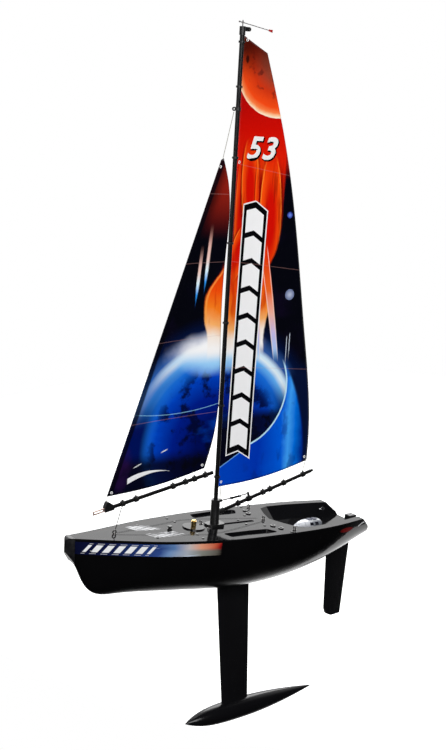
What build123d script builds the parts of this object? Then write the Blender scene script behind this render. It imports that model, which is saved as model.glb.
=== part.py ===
"""Radio-controlled racing yacht, 465 mm hull, modelled in millimetres.

+X points to the bow, +Y to port and +Z up.  The origin is on the centreline, at the
underside of the hull under the middle of the fin keel's root.
"""
from build123d import *
from math import atan2, cos, degrees, pi, radians, sin
import os

os.makedirs("parts", exist_ok=True)

# ---------------------------------------------------------------- driving dimensions
WALL = 1.8                    # hull and deck moulding thickness
DECK_T = 1.8
BOW_X, STERN_TOP_X, STERN_BOTTOM_X = 257.0, -196.0, -213.0
BUMPER_X = 247.0              # joint between hull and bow bumper
MAST_X, DECK_Z = 36.0, 85.0
MAST_R, MAST_BORE_R = 2.8, 2.0
MAST_HEEL_Z, MAST_JOINT_Z, MAST_TOP_Z = 24.0, 400.0, 708.0
RUN_FIT = 0.06                # radial clearance of a turning fit

BOOM_R = 2.4                  # both booms
BOOM_TILT = 12.7              # main boom rises aft, degrees
BOOM_ROOT_Z = 101.0           # main boom's line where it meets the mast axis
BOOM_LENGTH = 160.0
GOOSE_R, GOOSE_Z0, GOOSE_Z1 = 5.8, 96.4, 120.5

JIB_TILT = 8.9
JIB_FRONT = (202.0, 133.0)    # front end of the jib boom's centreline, X and Z
JIB_LENGTH = 160.5
SWIVEL_FOOT = (188.0, 100.5)  # deck hook
SWIVEL_HEAD = (41.5, 615.0)   # mast hook
SAIL_T = 0.4

FIN_ROOT_LE, FIN_ROOT_TE = 26.4, -26.9
FIN_TIP_LE, FIN_TIP_TE = 4.5, -38.5
FIN_ROOT_T, FIN_TIP_T, FIN_TIP_Z = 6.4, 5.6, -196.0
TRUNK_HALF_X, TRUNK_HALF_Y = 30.0, 4.2
BULB_Z, BULB_NOSE_X, BULB_TAIL_X, BULB_R = -191.6, 66.5, -156.5, 13.8

RUDDER_X, POST_R = -176.0, 1.5
TILLER_R, TILLER_Z = 12.0, 44.6
HORN_X = -112.0
SERVO_TOP_Z = 44.0
SAIL_SERVO_XY, SAIL_ARM_R = (-46.0, -24.0), 35.0
TRAY_Z = 22.0
FLOOR_FRONT, FLOOR_BACK = (-60.0, 60.0), (-215.0, 52.0)   # cockpit floor line, X and Z
HATCH_X, HATCH_R = 69.0, 14.5
BUTTON_X = 106.0
POD_X, POD_H = -121.0, 9.4     # cockpit hatch: middle of its length, and its height

# Stations of the hull: distance, half breadth, keel height and fullness of the section.
STATIONS = [
    (-216, 41.0, 40.0, 2.5),
    (-191, 44.5, 32.0, 2.5),
    (-160, 50.5, 22.5, 2.5),
    (-125, 56.0, 12.8, 2.5),
    (-79, 59.0, 4.2, 2.5),
    (-23, 59.0, 0.2, 2.5),
    (33, 57.5, 2.2, 2.4),
    (89, 50.5, 9.0, 2.2),
    (145, 39.0, 16.5, 2.0),
    (186, 26.5, 21.0, 1.8),
    (210, 19.0, 25.0, 1.7),
    (224, 14.6, 34.5, 1.6),
    (236, 11.0, 54.0, 1.6),
    (BUMPER_X, 7.6, 74.0, 1.6),
]


def sheer(x):
    """Height of the deck edge: a gentle curve that rises to the bow."""
    t = (x - MAST_X) / 200.0
    return DECK_Z + 15.2 * t + 3.6 * t**2 + 0.8 * t**3


def cockpit_floor(x):
    """Height of the cockpit floor, which falls towards the open transom."""
    slope = (FLOOR_BACK[1] - FLOOR_FRONT[1]) / (FLOOR_BACK[0] - FLOOR_FRONT[0])
    return FLOOR_FRONT[1] + slope * (x - FLOOR_FRONT[0])


def across(x):
    """Section plane at x: its own x axis is port, its y axis is up."""
    return Plane(origin=(x, 0, 0), x_dir=(0, 1, 0), z_dir=(1, 0, 0))


def station_face(x, half, keel, top, fullness):
    """Superellipse hull section from deck edge to keel, closed across the top."""
    steps = 8
    side = []
    for i in range(steps + 1):
        a = pi / 2 * i / steps
        side.append((half * cos(a) ** (2 / fullness), top - (top - keel) * sin(a) ** (2 / fullness)))
    points = side + [(-y, z) for y, z in reversed(side[:-1])]
    with BuildSketch(across(x)) as face:
        with BuildLine():
            Spline(*points)
            Line(points[-1], points[0])
        make_face()
    return face.sketch


def side_band(line, thickness, half_width=80.0):
    """Plate that follows a line of X, Z points, as thick as given, below the line."""
    with BuildPart() as band:
        with BuildSketch(Plane.XZ):
            with BuildLine():
                top = Spline(*line)
                low = Spline(*[(x, z - thickness) for x, z in line])
                Line(top @ 0, low @ 0)
                Line(top @ 1, low @ 1)
            make_face()
        extrude(amount=half_width, both=True)
    return band.part


def tube(outer, inner, length, start):
    """Round tube along +Z of the given plane."""
    with BuildPart() as t:
        with BuildSketch(start):
            Circle(outer)
            if inner:
                Circle(inner, mode=Mode.SUBTRACT)
        extrude(amount=length)
    return t.part


def aimed(start, end):
    """Plane at start whose normal points to end, for rods between two points."""
    a, b = Vector(*start), Vector(*end)
    side = Vector(0, 1, 0)
    return Plane(origin=a, x_dir=side, z_dir=(b - a).normalized()), (b - a).length


def rod(start, end, radius, bore=0.0):
    """Straight round rod, or a tube with a bore, between two points."""
    plane, length = aimed(start, end)
    return tube(radius, bore, length, plane)


def ring(centre, normal, radius, wire):
    """Closed round wire ring."""
    with BuildPart() as r:
        with BuildSketch(Plane(origin=centre, x_dir=normal_side(normal), z_dir=normal)):
            Circle(radius + wire)
            Circle(radius - wire, mode=Mode.SUBTRACT)
        extrude(amount=wire, both=True)
    return r.part


def normal_side(normal):
    """Any direction square to the given one, for the x axis of a plane."""
    n = Vector(*normal)
    probe = Vector(0, 0, 1) if abs(n.Z) < 0.9 else Vector(1, 0, 0)
    return n.cross(probe).normalized()


def save(part, label):
    """Label a finished piece and write it to its own file."""
    part.label = label
    export_step(part, f"parts/{label}.step")


def put(shape):
    """Join a ready shape into the piece that is being built."""
    add(shape)


# ---------------------------------------------------------------- hull and deck
sheer_line = [(x, sheer(x)) for x in (-232, -160, -90, -20, 50, 120, 190, 262)]
deck_underside = [(x, z - DECK_T) for x, z in sheer_line]

with BuildPart() as hull_solid:
    loft([station_face(x, b, k, sheer(x), n) for x, b, k, n in STATIONS])
with BuildPart() as hull_hollow:
    loft([station_face(x, b - WALL, k + WALL, sheer(x) + 0.5, n) for x, b, k, n in STATIONS[:-2]])

# The transom leans forward as it rises.
transom_lean = degrees(atan2(STERN_TOP_X - STERN_BOTTOM_X, sheer(STERN_TOP_X) - 31.0))
transom = Plane(origin=(STERN_BOTTOM_X, 0, 31.0), x_dir=(0, 1, 0),
                z_dir=(-cos(radians(transom_lean)), 0, sin(radians(transom_lean))))

# Both side decks end in a slope down to the cockpit floor.
QUARTER_X, QUARTER_Z = -202.0, 57.0
quarter_cut = Plane(origin=(QUARTER_X, 0, QUARTER_Z), x_dir=(0, 1, 0), z_dir=(-1, 0, 1))

# Cockpit: a wide well whose sides slope in towards its floor.
RECESS_TOP = [(-52, 0), (-60, 24), (-70, 46), (-85, 52), (-120, 51), (-160, 45.5), (-191, 39), (-240, 31)]
RECESS_LOW = [(-76, 0), (-80, 12), (-88, 22), (-98, 26), (-125, 27), (-160, 25), (-191, 23), (-240, 20)]
RECESS_Z = (45.0, 85.0)


def mirrored(points):
    """Outline of half points on the port side, closed through the starboard side."""
    return points + [(x, -y) for x, y in reversed(points[1:])]


def well(grow, drop):
    """Cockpit well, grown sideways and deepened for its outer skin."""
    with BuildPart() as w:
        for z, outline in zip(RECESS_Z, (RECESS_LOW, RECESS_TOP)):
            with BuildSketch(Plane.XY.offset(z)):
                Polygon(*mirrored(outline), align=None)
                if grow:
                    offset(amount=grow, kind=Kind.INTERSECTION)
        loft(ruled=True)
        with BuildSketch(Plane.XZ):
            Polygon((-260, cockpit_floor(-260) - drop), (0, cockpit_floor(0) - drop),
                    (0, 120), (-260, 120), align=None)
        extrude(amount=90, both=True, mode=Mode.INTERSECT)
    return w.part


inner_well = well(0.0, 0.0)
outer_well = well(DECK_T, DECK_T)
deck_band = side_band([(x, z + 0.01) for x, z in sheer_line], DECK_T + 0.01)
below_deck = side_band(deck_underside, 130.0)

with BuildPart() as transom_wall:
    put(hull_solid.part)
    split(bisect_by=transom.offset(-WALL), keep=Keep.TOP)

with BuildPart() as hull_shell:
    put(hull_solid.part)
    add(hull_hollow.part, mode=Mode.SUBTRACT)
    # solid transom wall, then everything above the deck moulding is taken away
    put(transom_wall.part)
    split(bisect_by=transom, keep=Keep.BOTTOM)
    split(bisect_by=quarter_cut, keep=Keep.BOTTOM)
    add(below_deck, mode=Mode.INTERSECT)
    add(outer_well, mode=Mode.SUBTRACT)
    with BuildSketch(Plane.XY.offset(-10)):
        Rectangle(2 * TRUNK_HALF_X, 2 * TRUNK_HALF_Y)
    extrude(amount=40, mode=Mode.SUBTRACT)
    with BuildSketch(Plane.XY.offset(0)):
        with Locations((RUDDER_X, 0)):
            Circle(3.0)
    extrude(amount=45, mode=Mode.SUBTRACT)
    with BuildSketch(Plane.XZ):
        with Locations((228, 88)):
            Circle(1.5)
    extrude(amount=40, both=True, mode=Mode.SUBTRACT)
save(hull_shell.part, "hull_shell")

GROOVE = 0.7
SPINE = [(186, 1.5), (70, 29), (40, 26), (-40, 6)]        # raised centre panel's edge
HATCH_HOLE_R = HATCH_R - 2.5
SHEET_HOLES = [(-41, 27), (-45, 39)]
MAST_TUBE_R = 4.2
TROUGH = [(46, 32), (42, 48), (2, 51.5), (-34, 49), (-25, 34), (2, 32)]     # sunken side deck
TROUGH_DEPTH = 3.2


def side_trough(grow):
    """Upright prisms over the sunken side decks, one each side, grown sideways."""
    with BuildPart() as t:
        for side in (1, -1):
            with BuildSketch(Plane.XY.offset(60)):
                Polygon(*[(x, side * y) for x, y in TROUGH], align=None)
                fillet(vertices(), 4.0)
                if grow:
                    offset(amount=grow)
            extrude(amount=60)
    return t.part


trough_floor = [(x, z - TROUGH_DEPTH) for x, z in sheer_line]
with BuildPart() as trough_block:
    put(side_trough(1.4))
    add(side_band(sheer_line, TROUGH_DEPTH + DECK_T), mode=Mode.INTERSECT)
with BuildPart() as trough_cut:
    put(side_trough(0.0))
    add(side_band(trough_floor, 60.0), mode=Mode.SUBTRACT)

with BuildPart() as cockpit_tub:
    put(outer_well)
    add(hull_solid.part, mode=Mode.INTERSECT)

# two fine grooves each side mark the raised centre panel of the deck
with BuildPart() as panel_grooves:
    with BuildSketch(Plane.XY.offset(60)):
        for step in (0.0, 2.4):
            edge = [(x, y + step) for x, y in SPINE]
            for side in (1, -1):
                for (xa, ya), (xb, yb) in zip(edge[:-1], edge[1:]):
                    middle = ((xa + xb) / 2, side * (ya + yb) / 2)
                    turn = degrees(atan2(side * (yb - ya), xb - xa))
                    with Locations(Location(middle, turn)):
                        SlotOverall(((xb - xa) ** 2 + (yb - ya) ** 2) ** 0.5 + GROOVE, GROOVE)
    extrude(amount=60)
    add(side_band([(x, z + 1) for x, z in sheer_line], 1.6), mode=Mode.INTERSECT)

with BuildPart() as deck_moulding:
    put(hull_solid.part)
    add(deck_band, mode=Mode.INTERSECT)
    put(cockpit_tub.part)
    put(trough_block.part)
    split(bisect_by=transom, keep=Keep.BOTTOM)
    split(bisect_by=quarter_cut, keep=Keep.BOTTOM)
    add(inner_well, mode=Mode.SUBTRACT)
    add(trough_cut.part, mode=Mode.SUBTRACT)
    with BuildSketch(Plane.XY.offset(60)):
        with Locations((HATCH_X, 0)):
            Circle(HATCH_HOLE_R)
        with Locations((MAST_X, 0)):
            Circle(MAST_TUBE_R)
        with Locations((BUTTON_X, 0)):
            Circle(3.2)
        with Locations((-2, 0)):
            SlotOverall(54, 6.4)
        for side in (1, -1):
            with Locations(*[(x, side * y) for x, y in SHEET_HOLES]):
                Circle(2.6)
    extrude(amount=40, mode=Mode.SUBTRACT)
    with BuildSketch(Plane.XY.offset(30)):
        with Locations((POD_X, 0)):
            SlotOverall(30, 11)
    extrude(amount=30, mode=Mode.SUBTRACT)
    add(panel_grooves.part, mode=Mode.SUBTRACT)
save(deck_moulding.part, "deck_moulding")

with BuildPart() as bow_bumper:
    with BuildSketch(Plane.XZ):
        with BuildLine():
            Polyline((BUMPER_X, 74.0), (BOW_X, 88.5), (BOW_X, sheer(BOW_X)), (BUMPER_X, sheer(BUMPER_X)),
                     close=True)
        make_face()
        fillet(vertices().group_by(Axis.X)[-1].sort_by(Axis.Y)[-1], 4.5)
        fillet(vertices().group_by(Axis.Y)[1], 2.0)
    extrude(amount=12, both=True)
    with BuildSketch(Plane.XY):
        with BuildLine():
            nose = Spline((BUMPER_X, 7.6), (BOW_X - 3.5, 5.6), (BOW_X, 0), (BOW_X - 3.5, -5.6), (BUMPER_X, -7.6))
            Line(nose @ 0, nose @ 1)
        make_face()
    extrude(amount=130, mode=Mode.INTERSECT)
save(bow_bumper.part, "bow_bumper")

# ---------------------------------------------------------------- keel
with BuildPart() as keel_trunk:
    with BuildSketch(Plane.XY.offset(-4)):
        Rectangle(2 * TRUNK_HALF_X, 2 * TRUNK_HALF_Y)
        Rectangle(2 * TRUNK_HALF_X - 3, 2 * TRUNK_HALF_Y - 1.0, mode=Mode.SUBTRACT)
    extrude(amount=100)
    add(hull_solid.part, mode=Mode.INTERSECT)
    add(below_deck, mode=Mode.INTERSECT)
save(keel_trunk.part, "keel_trunk")


def foil(plane, leading, trailing, thickness, blunt=0.5):
    """Streamlined section: a rounded leading edge, thickest a third of the way back."""
    chord = leading - trailing
    half = thickness / 2
    upper = [(leading, 0.0), (leading - 0.06 * chord, 0.6 * half), (leading - 0.32 * chord, half),
             (leading - 0.7 * chord, 0.62 * half), (trailing, blunt)]
    lower = [(x, -y) for x, y in reversed(upper)]
    with BuildSketch(plane) as s:
        with BuildLine():
            Spline(*(lower + upper[1:]))
            Line(upper[-1], lower[0])
        make_face()
    return s.sketch


FIN_ROOT_Z, FIN_TOP_Z = 4.0, 74.0
with BuildPart() as keel_fin:
    loft([foil(Plane.XY.offset(FIN_TIP_Z), FIN_TIP_LE, FIN_TIP_TE, FIN_TIP_T),
          foil(Plane.XY.offset(FIN_ROOT_Z), FIN_ROOT_LE, FIN_ROOT_TE, FIN_ROOT_T)])
    with BuildSketch(Plane.XY.offset(FIN_ROOT_Z)):
        Rectangle(50, 5.6)
    extrude(amount=FIN_TOP_Z - FIN_ROOT_Z)
save(keel_fin.part, "keel_fin")

with BuildPart() as fin_lock_plate:
    with BuildSketch(Plane.XY.offset(FIN_TOP_Z)):
        SlotOverall(53, 5.6)
        with Locations((18, 0), (-18, 0)):
            Circle(1.55, mode=Mode.SUBTRACT)
    extrude(amount=3)
save(fin_lock_plate.part, "fin_lock_plate")


def bulb_body(scale):
    """Ballast bulb: a turned shape with a pointed nose and a long fine tail."""
    middle = -18.0
    with BuildPart() as b:
        with BuildSketch(Plane.XZ):
            with BuildLine():
                Spline((middle + (BULB_TAIL_X - middle) * scale, BULB_Z),
                       (middle - 88 * scale, BULB_Z + 0.58 * BULB_R * scale),
                       (middle - 30 * scale, BULB_Z + 0.96 * BULB_R * scale),
                       (middle + 14 * scale, BULB_Z + BULB_R * scale),
                       (middle + 56 * scale, BULB_Z + 0.74 * BULB_R * scale),
                       (middle + (BULB_NOSE_X - middle) * scale, BULB_Z))
                Line((middle + (BULB_TAIL_X - middle) * scale, BULB_Z),
                     (middle + (BULB_NOSE_X - middle) * scale, BULB_Z))
            make_face()
        revolve(axis=Axis((0, 0, BULB_Z), (1, 0, 0)), revolution_arc=360)
    return b.part


bulb_outer, bulb_core = bulb_body(1.0), bulb_body(0.86)
BULB_SCREWS_X = (24.0, -62.0)

for name, side in (("bulb_port_half", Keep.BOTTOM), ("bulb_starboard_half", Keep.TOP)):
    with BuildPart() as half_shell:
        put(bulb_outer)
        add(bulb_core, mode=Mode.SUBTRACT)
        add(keel_fin.part, mode=Mode.SUBTRACT)
        with BuildSketch(Plane.XZ):
            with Locations(*[(x, BULB_Z) for x in BULB_SCREWS_X]):
                Circle(1.0)
        extrude(amount=30, both=True, mode=Mode.SUBTRACT)
        split(bisect_by=Plane.XZ, keep=side)
    save(half_shell.part, name)

with BuildPart() as bulb_ballast:
    put(bulb_core)
    add(keel_fin.part, mode=Mode.SUBTRACT)
    with BuildSketch(Plane.XZ):
        with Locations(*[(x, BULB_Z) for x in BULB_SCREWS_X]):
            Circle(1.0)
    extrude(amount=30, both=True, mode=Mode.SUBTRACT)
save(bulb_ballast.part, "bulb_ballast")

with BuildPart() as bulb_screws:
    with BuildSketch(Plane.XZ):
        with Locations(*[(x, BULB_Z) for x in BULB_SCREWS_X]):
            Circle(1.0)
    extrude(amount=30, both=True)
    add(bulb_outer, mode=Mode.INTERSECT)
save(bulb_screws.part, "bulb_screws")

# ---------------------------------------------------------------- rudder and its drive
with BuildPart() as rudder_blade:
    loft([foil(Plane.XY.offset(-90), -168.0, -199.5, 4.4, 0.35),
          foil(Plane.XY.offset(40), -163.0, -208.0, 5.6, 0.35)])
    with BuildSketch(Plane.XZ):
        with BuildLine():
            Polyline((-150, 17.0), (-215, 36.5), (-215, -89.0), (-181, -88.0), (-172, -83.5), (-167.5, -74),
                     (-166, -60), (-150, -60), close=True)
        make_face()
        fillet(vertices().group_by(Axis.Y)[1], 4.0)
    extrude(amount=20, both=True, mode=Mode.INTERSECT)
    with BuildSketch(Plane.XY.offset(-62)):
        with Locations((RUDDER_X, 0)):
            Circle(POST_R)
    extrude(amount=100, mode=Mode.SUBTRACT)
save(rudder_blade.part, "rudder_blade")

with BuildPart() as rudder_post:
    put(tube(POST_R, 0, TILLER_Z + 4.4 + 62, Plane.XY.offset(-62).move(Location((RUDDER_X, 0, 0)))))
save(rudder_post.part, "rudder_post")

with BuildPart() as rudder_tube:
    put(tube(3.0, POST_R + RUN_FIT, 40, Plane((RUDDER_X, 0, 10))))
    add(hull_solid.part, mode=Mode.INTERSECT)
    split(bisect_by=Plane.XY.offset(TILLER_Z - 0.4), keep=Keep.BOTTOM)
save(rudder_tube.part, "rudder_tube")

PIN_R, ROD_Z = 0.9, TILLER_Z + 3.3


def crank(centre, z, reach, direction, pin_height, hub_bore):
    """Small control arm: a hub, a tapered arm and an upright pin at its end."""
    cx, cy = centre
    with BuildPart() as arm:
        with BuildSketch(Plane((cx, cy, z))):
            with BuildLine():
                Polyline((-2.6, -2.4), (reach, -1.7), (reach, 1.7), (-2.6, 2.4), close=True)
            make_face()
            Circle(4.0)
            with Locations((reach, 0)):
                Circle(2.2)
        extrude(amount=2.0)
        with BuildSketch(Plane((cx, cy, z - 1))):
            Circle(hub_bore)
        extrude(amount=6, mode=Mode.SUBTRACT)
        with BuildSketch(Plane((cx, cy, z + 2))):
            with Locations((reach, 0)):
                Circle(PIN_R)
        extrude(amount=pin_height)
    return arm.part.rotate(Axis((cx, cy, 0), (0, 0, 1)), direction)


with BuildPart() as tiller_arm:
    put(crank((RUDDER_X, 0), TILLER_Z, TILLER_R, 90, 2.4, POST_R))
save(tiller_arm.part, "tiller_arm")

with BuildPart() as servo_tray:
    with BuildSketch(Plane.XY.offset(TRAY_Z - 1.6)):
        Polygon((-134, -20), (-134, 20), (-96, 34), (-34, 36), (-34, -36), (-96, -34), align=None)
    extrude(amount=1.6)
    with BuildSketch(Plane.XY.offset(0)):
        with Locations((-126, 12), (-126, -12), (-40, 24), (-40, -24), (-84, 28), (-84, -28)):
            Rectangle(6, 3)
    extrude(amount=TRAY_Z - 1.6)
    add(hull_hollow.part, mode=Mode.INTERSECT)
save(servo_tray.part, "servo_tray")


def servo(centre, length, width, height, ear):
    """Servo case with two mounting ears and a round gear tower; its shaft is at centre."""
    cx, cy = centre
    body_x = cx - length * 0.2
    with BuildPart() as s:
        with BuildSketch(Plane((body_x, cy, TRAY_Z))):
            RectangleRounded(length, width, 1.0)
        extrude(amount=height)
        with BuildSketch(Plane((body_x, cy, TRAY_Z + height * 0.62))):
            RectangleRounded(length + 2 * ear, width, 1.0)
            with GridLocations(length + ear, 0, 2, 1):
                Circle(1.0, mode=Mode.SUBTRACT)
        extrude(amount=2.0)
        with BuildSketch(Plane((cx, cy, TRAY_Z + height))):
            Circle(width * 0.42)
        extrude(amount=SERVO_TOP_Z - TRAY_Z - height - 0.3)
        with BuildSketch(Plane((cx, cy, SERVO_TOP_Z - 0.3))):
            Circle(POST_R)
        extrude(amount=2.9)
    return s.part


with BuildPart() as rudder_servo:
    put(servo((HORN_X, 0), 23, 12, 18, 4))
save(rudder_servo.part, "rudder_servo")

with BuildPart() as rudder_horn:
    put(crank((HORN_X, 0), TILLER_Z, TILLER_R, 90, 2.4, POST_R + RUN_FIT))
save(rudder_horn.part, "rudder_horn")

with BuildPart() as rudder_pushrod:
    with BuildSketch(Plane.XY.offset(ROD_Z - 0.8)):
        with Locations(((HORN_X + RUDDER_X) / 2, TILLER_R)):
            Rectangle(HORN_X - RUDDER_X, 1.6)
        with Locations((HORN_X, TILLER_R), (RUDDER_X, TILLER_R)):
            Circle(2.4)
        with Locations((HORN_X, TILLER_R)):
            Circle(PIN_R + RUN_FIT, mode=Mode.SUBTRACT)
        with Locations((RUDDER_X, TILLER_R)):
            Circle(PIN_R + 0.35, mode=Mode.SUBTRACT)
    extrude(amount=1.6)
save(rudder_pushrod.part, "rudder_pushrod")

with BuildPart() as sail_servo:
    put(servo(SAIL_SERVO_XY, 38, 19, 19, 6))
save(sail_servo.part, "sail_servo")

with BuildPart() as sail_servo_arm:
    with BuildSketch(Plane((*SAIL_SERVO_XY, TILLER_Z))):
        Circle(5.0)
        with Locations((-SAIL_ARM_R / 2, 0)):
            SlotOverall(SAIL_ARM_R + 6, 4.6)
        with Locations((-SAIL_ARM_R, 0), (-SAIL_ARM_R + 6, 0)):
            Circle(0.9, mode=Mode.SUBTRACT)
        Circle(POST_R + RUN_FIT, mode=Mode.SUBTRACT)
    extrude(amount=2.2)
save(sail_servo_arm.part, "sail_servo_arm")

with BuildPart() as receiver:
    with BuildSketch(Plane((-84, 15, TRAY_Z))):
        RectangleRounded(40, 22, 1.5)
    extrude(amount=10)
    with BuildSketch(Plane((-66, 15, TRAY_Z + 3))):
        with GridLocations(0, 3.4, 1, 5):
            Rectangle(8, 2.4)
    extrude(amount=4, mode=Mode.SUBTRACT)
save(receiver.part, "receiver")

CELL_R, CELL_L, CELL_X0 = 7.2, 50.0, 64.0
CELL_CENTRES = [(y, z) for y in (-7.7, 7.7) for z in (29.4, 44.8)]

with BuildPart() as battery_box:
    with BuildSketch(Plane((CELL_X0 + CELL_L / 2, 0, 20.4))):
        RectangleRounded(CELL_L + 6, 33.4, 1.5)
    extrude(amount=24)
    with BuildSketch(Plane((CELL_X0 + CELL_L / 2, 0, 21.8))):
        Rectangle(CELL_L + 2.4, 31.0)
    extrude(amount=24, mode=Mode.SUBTRACT)
save(battery_box.part, "battery_box")

with BuildPart() as battery_cells:
    for y, z in CELL_CENTRES:
        put(tube(CELL_R, 0, CELL_L - 1.2, Plane((CELL_X0, y, z), x_dir=(0, 1, 0), z_dir=(1, 0, 0))))
        put(tube(2.6, 0, 1.2, Plane((CELL_X0 + CELL_L - 1.2, y, z), x_dir=(0, 1, 0), z_dir=(1, 0, 0))))
save(battery_cells.part, "battery_cells")

# ---------------------------------------------------------------- deck fittings
floor_tilt = atan2(FLOOR_FRONT[1] - FLOOR_BACK[1], FLOOR_FRONT[0] - FLOOR_BACK[0])
hatch_plane = Plane(origin=(POD_X, 0, cockpit_floor(POD_X)),
                    x_dir=(cos(floor_tilt), 0, sin(floor_tilt)), z_dir=(-sin(floor_tilt), 0, cos(floor_tilt)))
with BuildPart() as cockpit_hatch:
    with BuildSketch(hatch_plane.offset(0.3)):
        with BuildLine():
            Spline((23, 0), (10, 6.8), (-11, 9.6), (-23, 8.6))
            Line((-23, 8.6), (-23, -8.6))
            Spline((-23, -8.6), (-11, -9.6), (10, -6.8), (23, 0))
        make_face()
    with BuildSketch(hatch_plane.offset(POD_H)):
        with BuildLine():
            Spline((14, 0), (6, 3.8), (-9, 6.2), (-21.5, 6.4))
            Line((-21.5, 6.4), (-21.5, -6.4))
            Spline((-21.5, -6.4), (-9, -6.2), (6, -3.8), (14, 0))
        make_face()
    loft(ruled=True)
save(cockpit_hatch.part, "cockpit_hatch")

with BuildPart() as hatch_windows:
    with BuildSketch(hatch_plane.offset(POD_H + 0.1)):
        with Locations((-6.5, 0), (-15.0, 0)):
            RectangleRounded(6.5, 7.6, 1.0)
    extrude(amount=0.6)
save(hatch_windows.part, "hatch_windows")

with BuildPart() as round_hatch:
    with BuildSketch(Plane.XY.offset(70)):
        with Locations((HATCH_X, 0)):
            Circle(HATCH_R)
    extrude(amount=40)
    add(side_band([(x, z + 1.6) for x, z in sheer_line], 1.55), mode=Mode.INTERSECT)
    with BuildSketch(Plane.XY.offset(70)):
        with Locations((HATCH_X, 0)):
            Circle(1.6)
    extrude(amount=40, mode=Mode.SUBTRACT)
save(round_hatch.part, "round_hatch")

with BuildPart() as thumb_screw:
    put(tube(1.5, 0, 20, Plane((HATCH_X, 0, sheer(HATCH_X) - 12))))
    with BuildSketch(Plane((HATCH_X, 0, sheer(HATCH_X) + 2.0))):
        RegularPolygon(3.4, 12)
    extrude(amount=6.5)
    with BuildSketch(Plane((HATCH_X, 0, sheer(HATCH_X) + 8.5))):
        Circle(2.4)
    extrude(amount=1.5)
save(thumb_screw.part, "thumb_screw")

with BuildPart() as mast_step:
    with BuildSketch(Plane((MAST_X, 0, DECK_Z - 1.4))):
        RectangleRounded(24, 17, 4)
    extrude(amount=4.6)
    with BuildSketch(Plane((MAST_X, 0, DECK_Z + 3.2))):
        Circle(GOOSE_R)
    extrude(amount=GOOSE_Z0 - 0.3 - DECK_Z - 3.2)
    with BuildSketch(Plane((MAST_X, 0, 40))):
        Circle(MAST_R)
    extrude(amount=80, mode=Mode.SUBTRACT)
    add(hull_solid.part, mode=Mode.SUBTRACT)
    add(tube(MAST_TUBE_R, 0, 90, Plane((MAST_X, 0, DECK_Z - 89.4))), mode=Mode.SUBTRACT)
save(mast_step.part, "mast_step")

with BuildPart() as mast_tube:
    with BuildSketch(Plane((MAST_X, 0, 0))):
        Circle(MAST_TUBE_R)
        Circle(MAST_R, mode=Mode.SUBTRACT)
    extrude(amount=DECK_Z + 0.6)
    with BuildSketch(Plane((MAST_X, 0, 0))):
        Circle(MAST_TUBE_R)
    extrude(amount=MAST_HEEL_Z)
    add(hull_hollow.part, mode=Mode.INTERSECT)
save(mast_tube.part, "mast_tube")

with BuildPart() as mast_lower:
    put(tube(MAST_R, MAST_BORE_R, MAST_JOINT_Z - MAST_HEEL_Z, Plane((MAST_X, 0, MAST_HEEL_Z))))
save(mast_lower.part, "mast_lower")

with BuildPart() as mast_upper:
    put(tube(MAST_R, MAST_BORE_R, MAST_TOP_Z - MAST_JOINT_Z, Plane((MAST_X, 0, MAST_JOINT_Z))))
save(mast_upper.part, "mast_upper")

with BuildPart() as mast_joiner:
    put(tube(MAST_BORE_R, 1.4, 50, Plane((MAST_X, 0, MAST_JOINT_Z - 25))))
save(mast_joiner.part, "mast_joiner")

with BuildPart() as masthead_cap:
    put(tube(MAST_R + 0.9, 0, 3.0, Plane((MAST_X, 0, MAST_TOP_Z))))
    put(tube(MAST_R + 0.9, MAST_R, 7.0, Plane((MAST_X, 0, MAST_TOP_Z - 7))))
    with BuildSketch(Plane.XZ):
        with Locations((MAST_X - 6, MAST_TOP_Z + 0.2)):
            SlotOverall(12, 5.0)
    extrude(amount=1.4, both=True)
    with BuildSketch(Plane.XZ):
        with Locations((MAST_X - 9.5, MAST_TOP_Z + 0.2)):
            Circle(1.1)
    extrude(amount=5, both=True, mode=Mode.SUBTRACT)
    with BuildSketch(Plane((MAST_X, 0, MAST_TOP_Z - 4))):
        Circle(MAST_R)
    extrude(amount=4, mode=Mode.SUBTRACT)
    with BuildSketch(Plane((MAST_X, 0, MAST_TOP_Z + 3))):
        Circle(0.6)
    extrude(amount=7.2)
save(masthead_cap.part, "masthead_cap")

# The vane spins freely; at rest its long arm points aft and droops a little.
VANE_Z = MAST_TOP_Z + 7.4
VANE_REACH, VANE_DROOP = 45.0, 6.5


def on_vane(distance):
    """Point of the vane's wire, so far aft of the mast axis."""
    return (MAST_X - distance, 0, VANE_Z - VANE_DROOP * distance / VANE_REACH)


with BuildPart() as wind_vane:
    put(tube(1.5, 0.6 + RUN_FIT, 1.8, Plane((MAST_X, 0, VANE_Z - 0.9))))
    put(rod(on_vane(1.1), on_vane(VANE_REACH - 6), 0.5))
    put(rod(on_vane(-1.1), on_vane(-5), 0.5))
    with Locations(on_vane(-5)):
        Sphere(1.1)
save(wind_vane.part, "wind_vane")

with BuildPart() as vane_feather:
    with BuildSketch(Plane(origin=(MAST_X, 0, VANE_Z), x_dir=(-VANE_REACH, 0, -VANE_DROOP),
                           z_dir=(0, 1, 0))):
        Polygon((VANE_REACH - 5, -1.0), (VANE_REACH + 1, -1.7), (VANE_REACH + 1, 1.7), (VANE_REACH - 5, 1.0),
                align=None)
    extrude(amount=0.3, both=True)
save(vane_feather.part, "vane_feather")

HEAD_X, HEAD_Z = SWIVEL_HEAD
with BuildPart() as forestay_hook:
    put(tube(MAST_R + 0.8, MAST_R, 4.0, Plane((MAST_X, 0, HEAD_Z - 2))))
    with BuildSketch(Plane.XZ):
        with Locations((MAST_X + MAST_R + 3.0, HEAD_Z)):
            Circle(2.6)
            Circle(1.3, mode=Mode.SUBTRACT)
    extrude(amount=0.7, both=True)
save(forestay_hook.part, "forestay_hook")

FOOT_X, FOOT_Z = SWIVEL_FOOT


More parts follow.
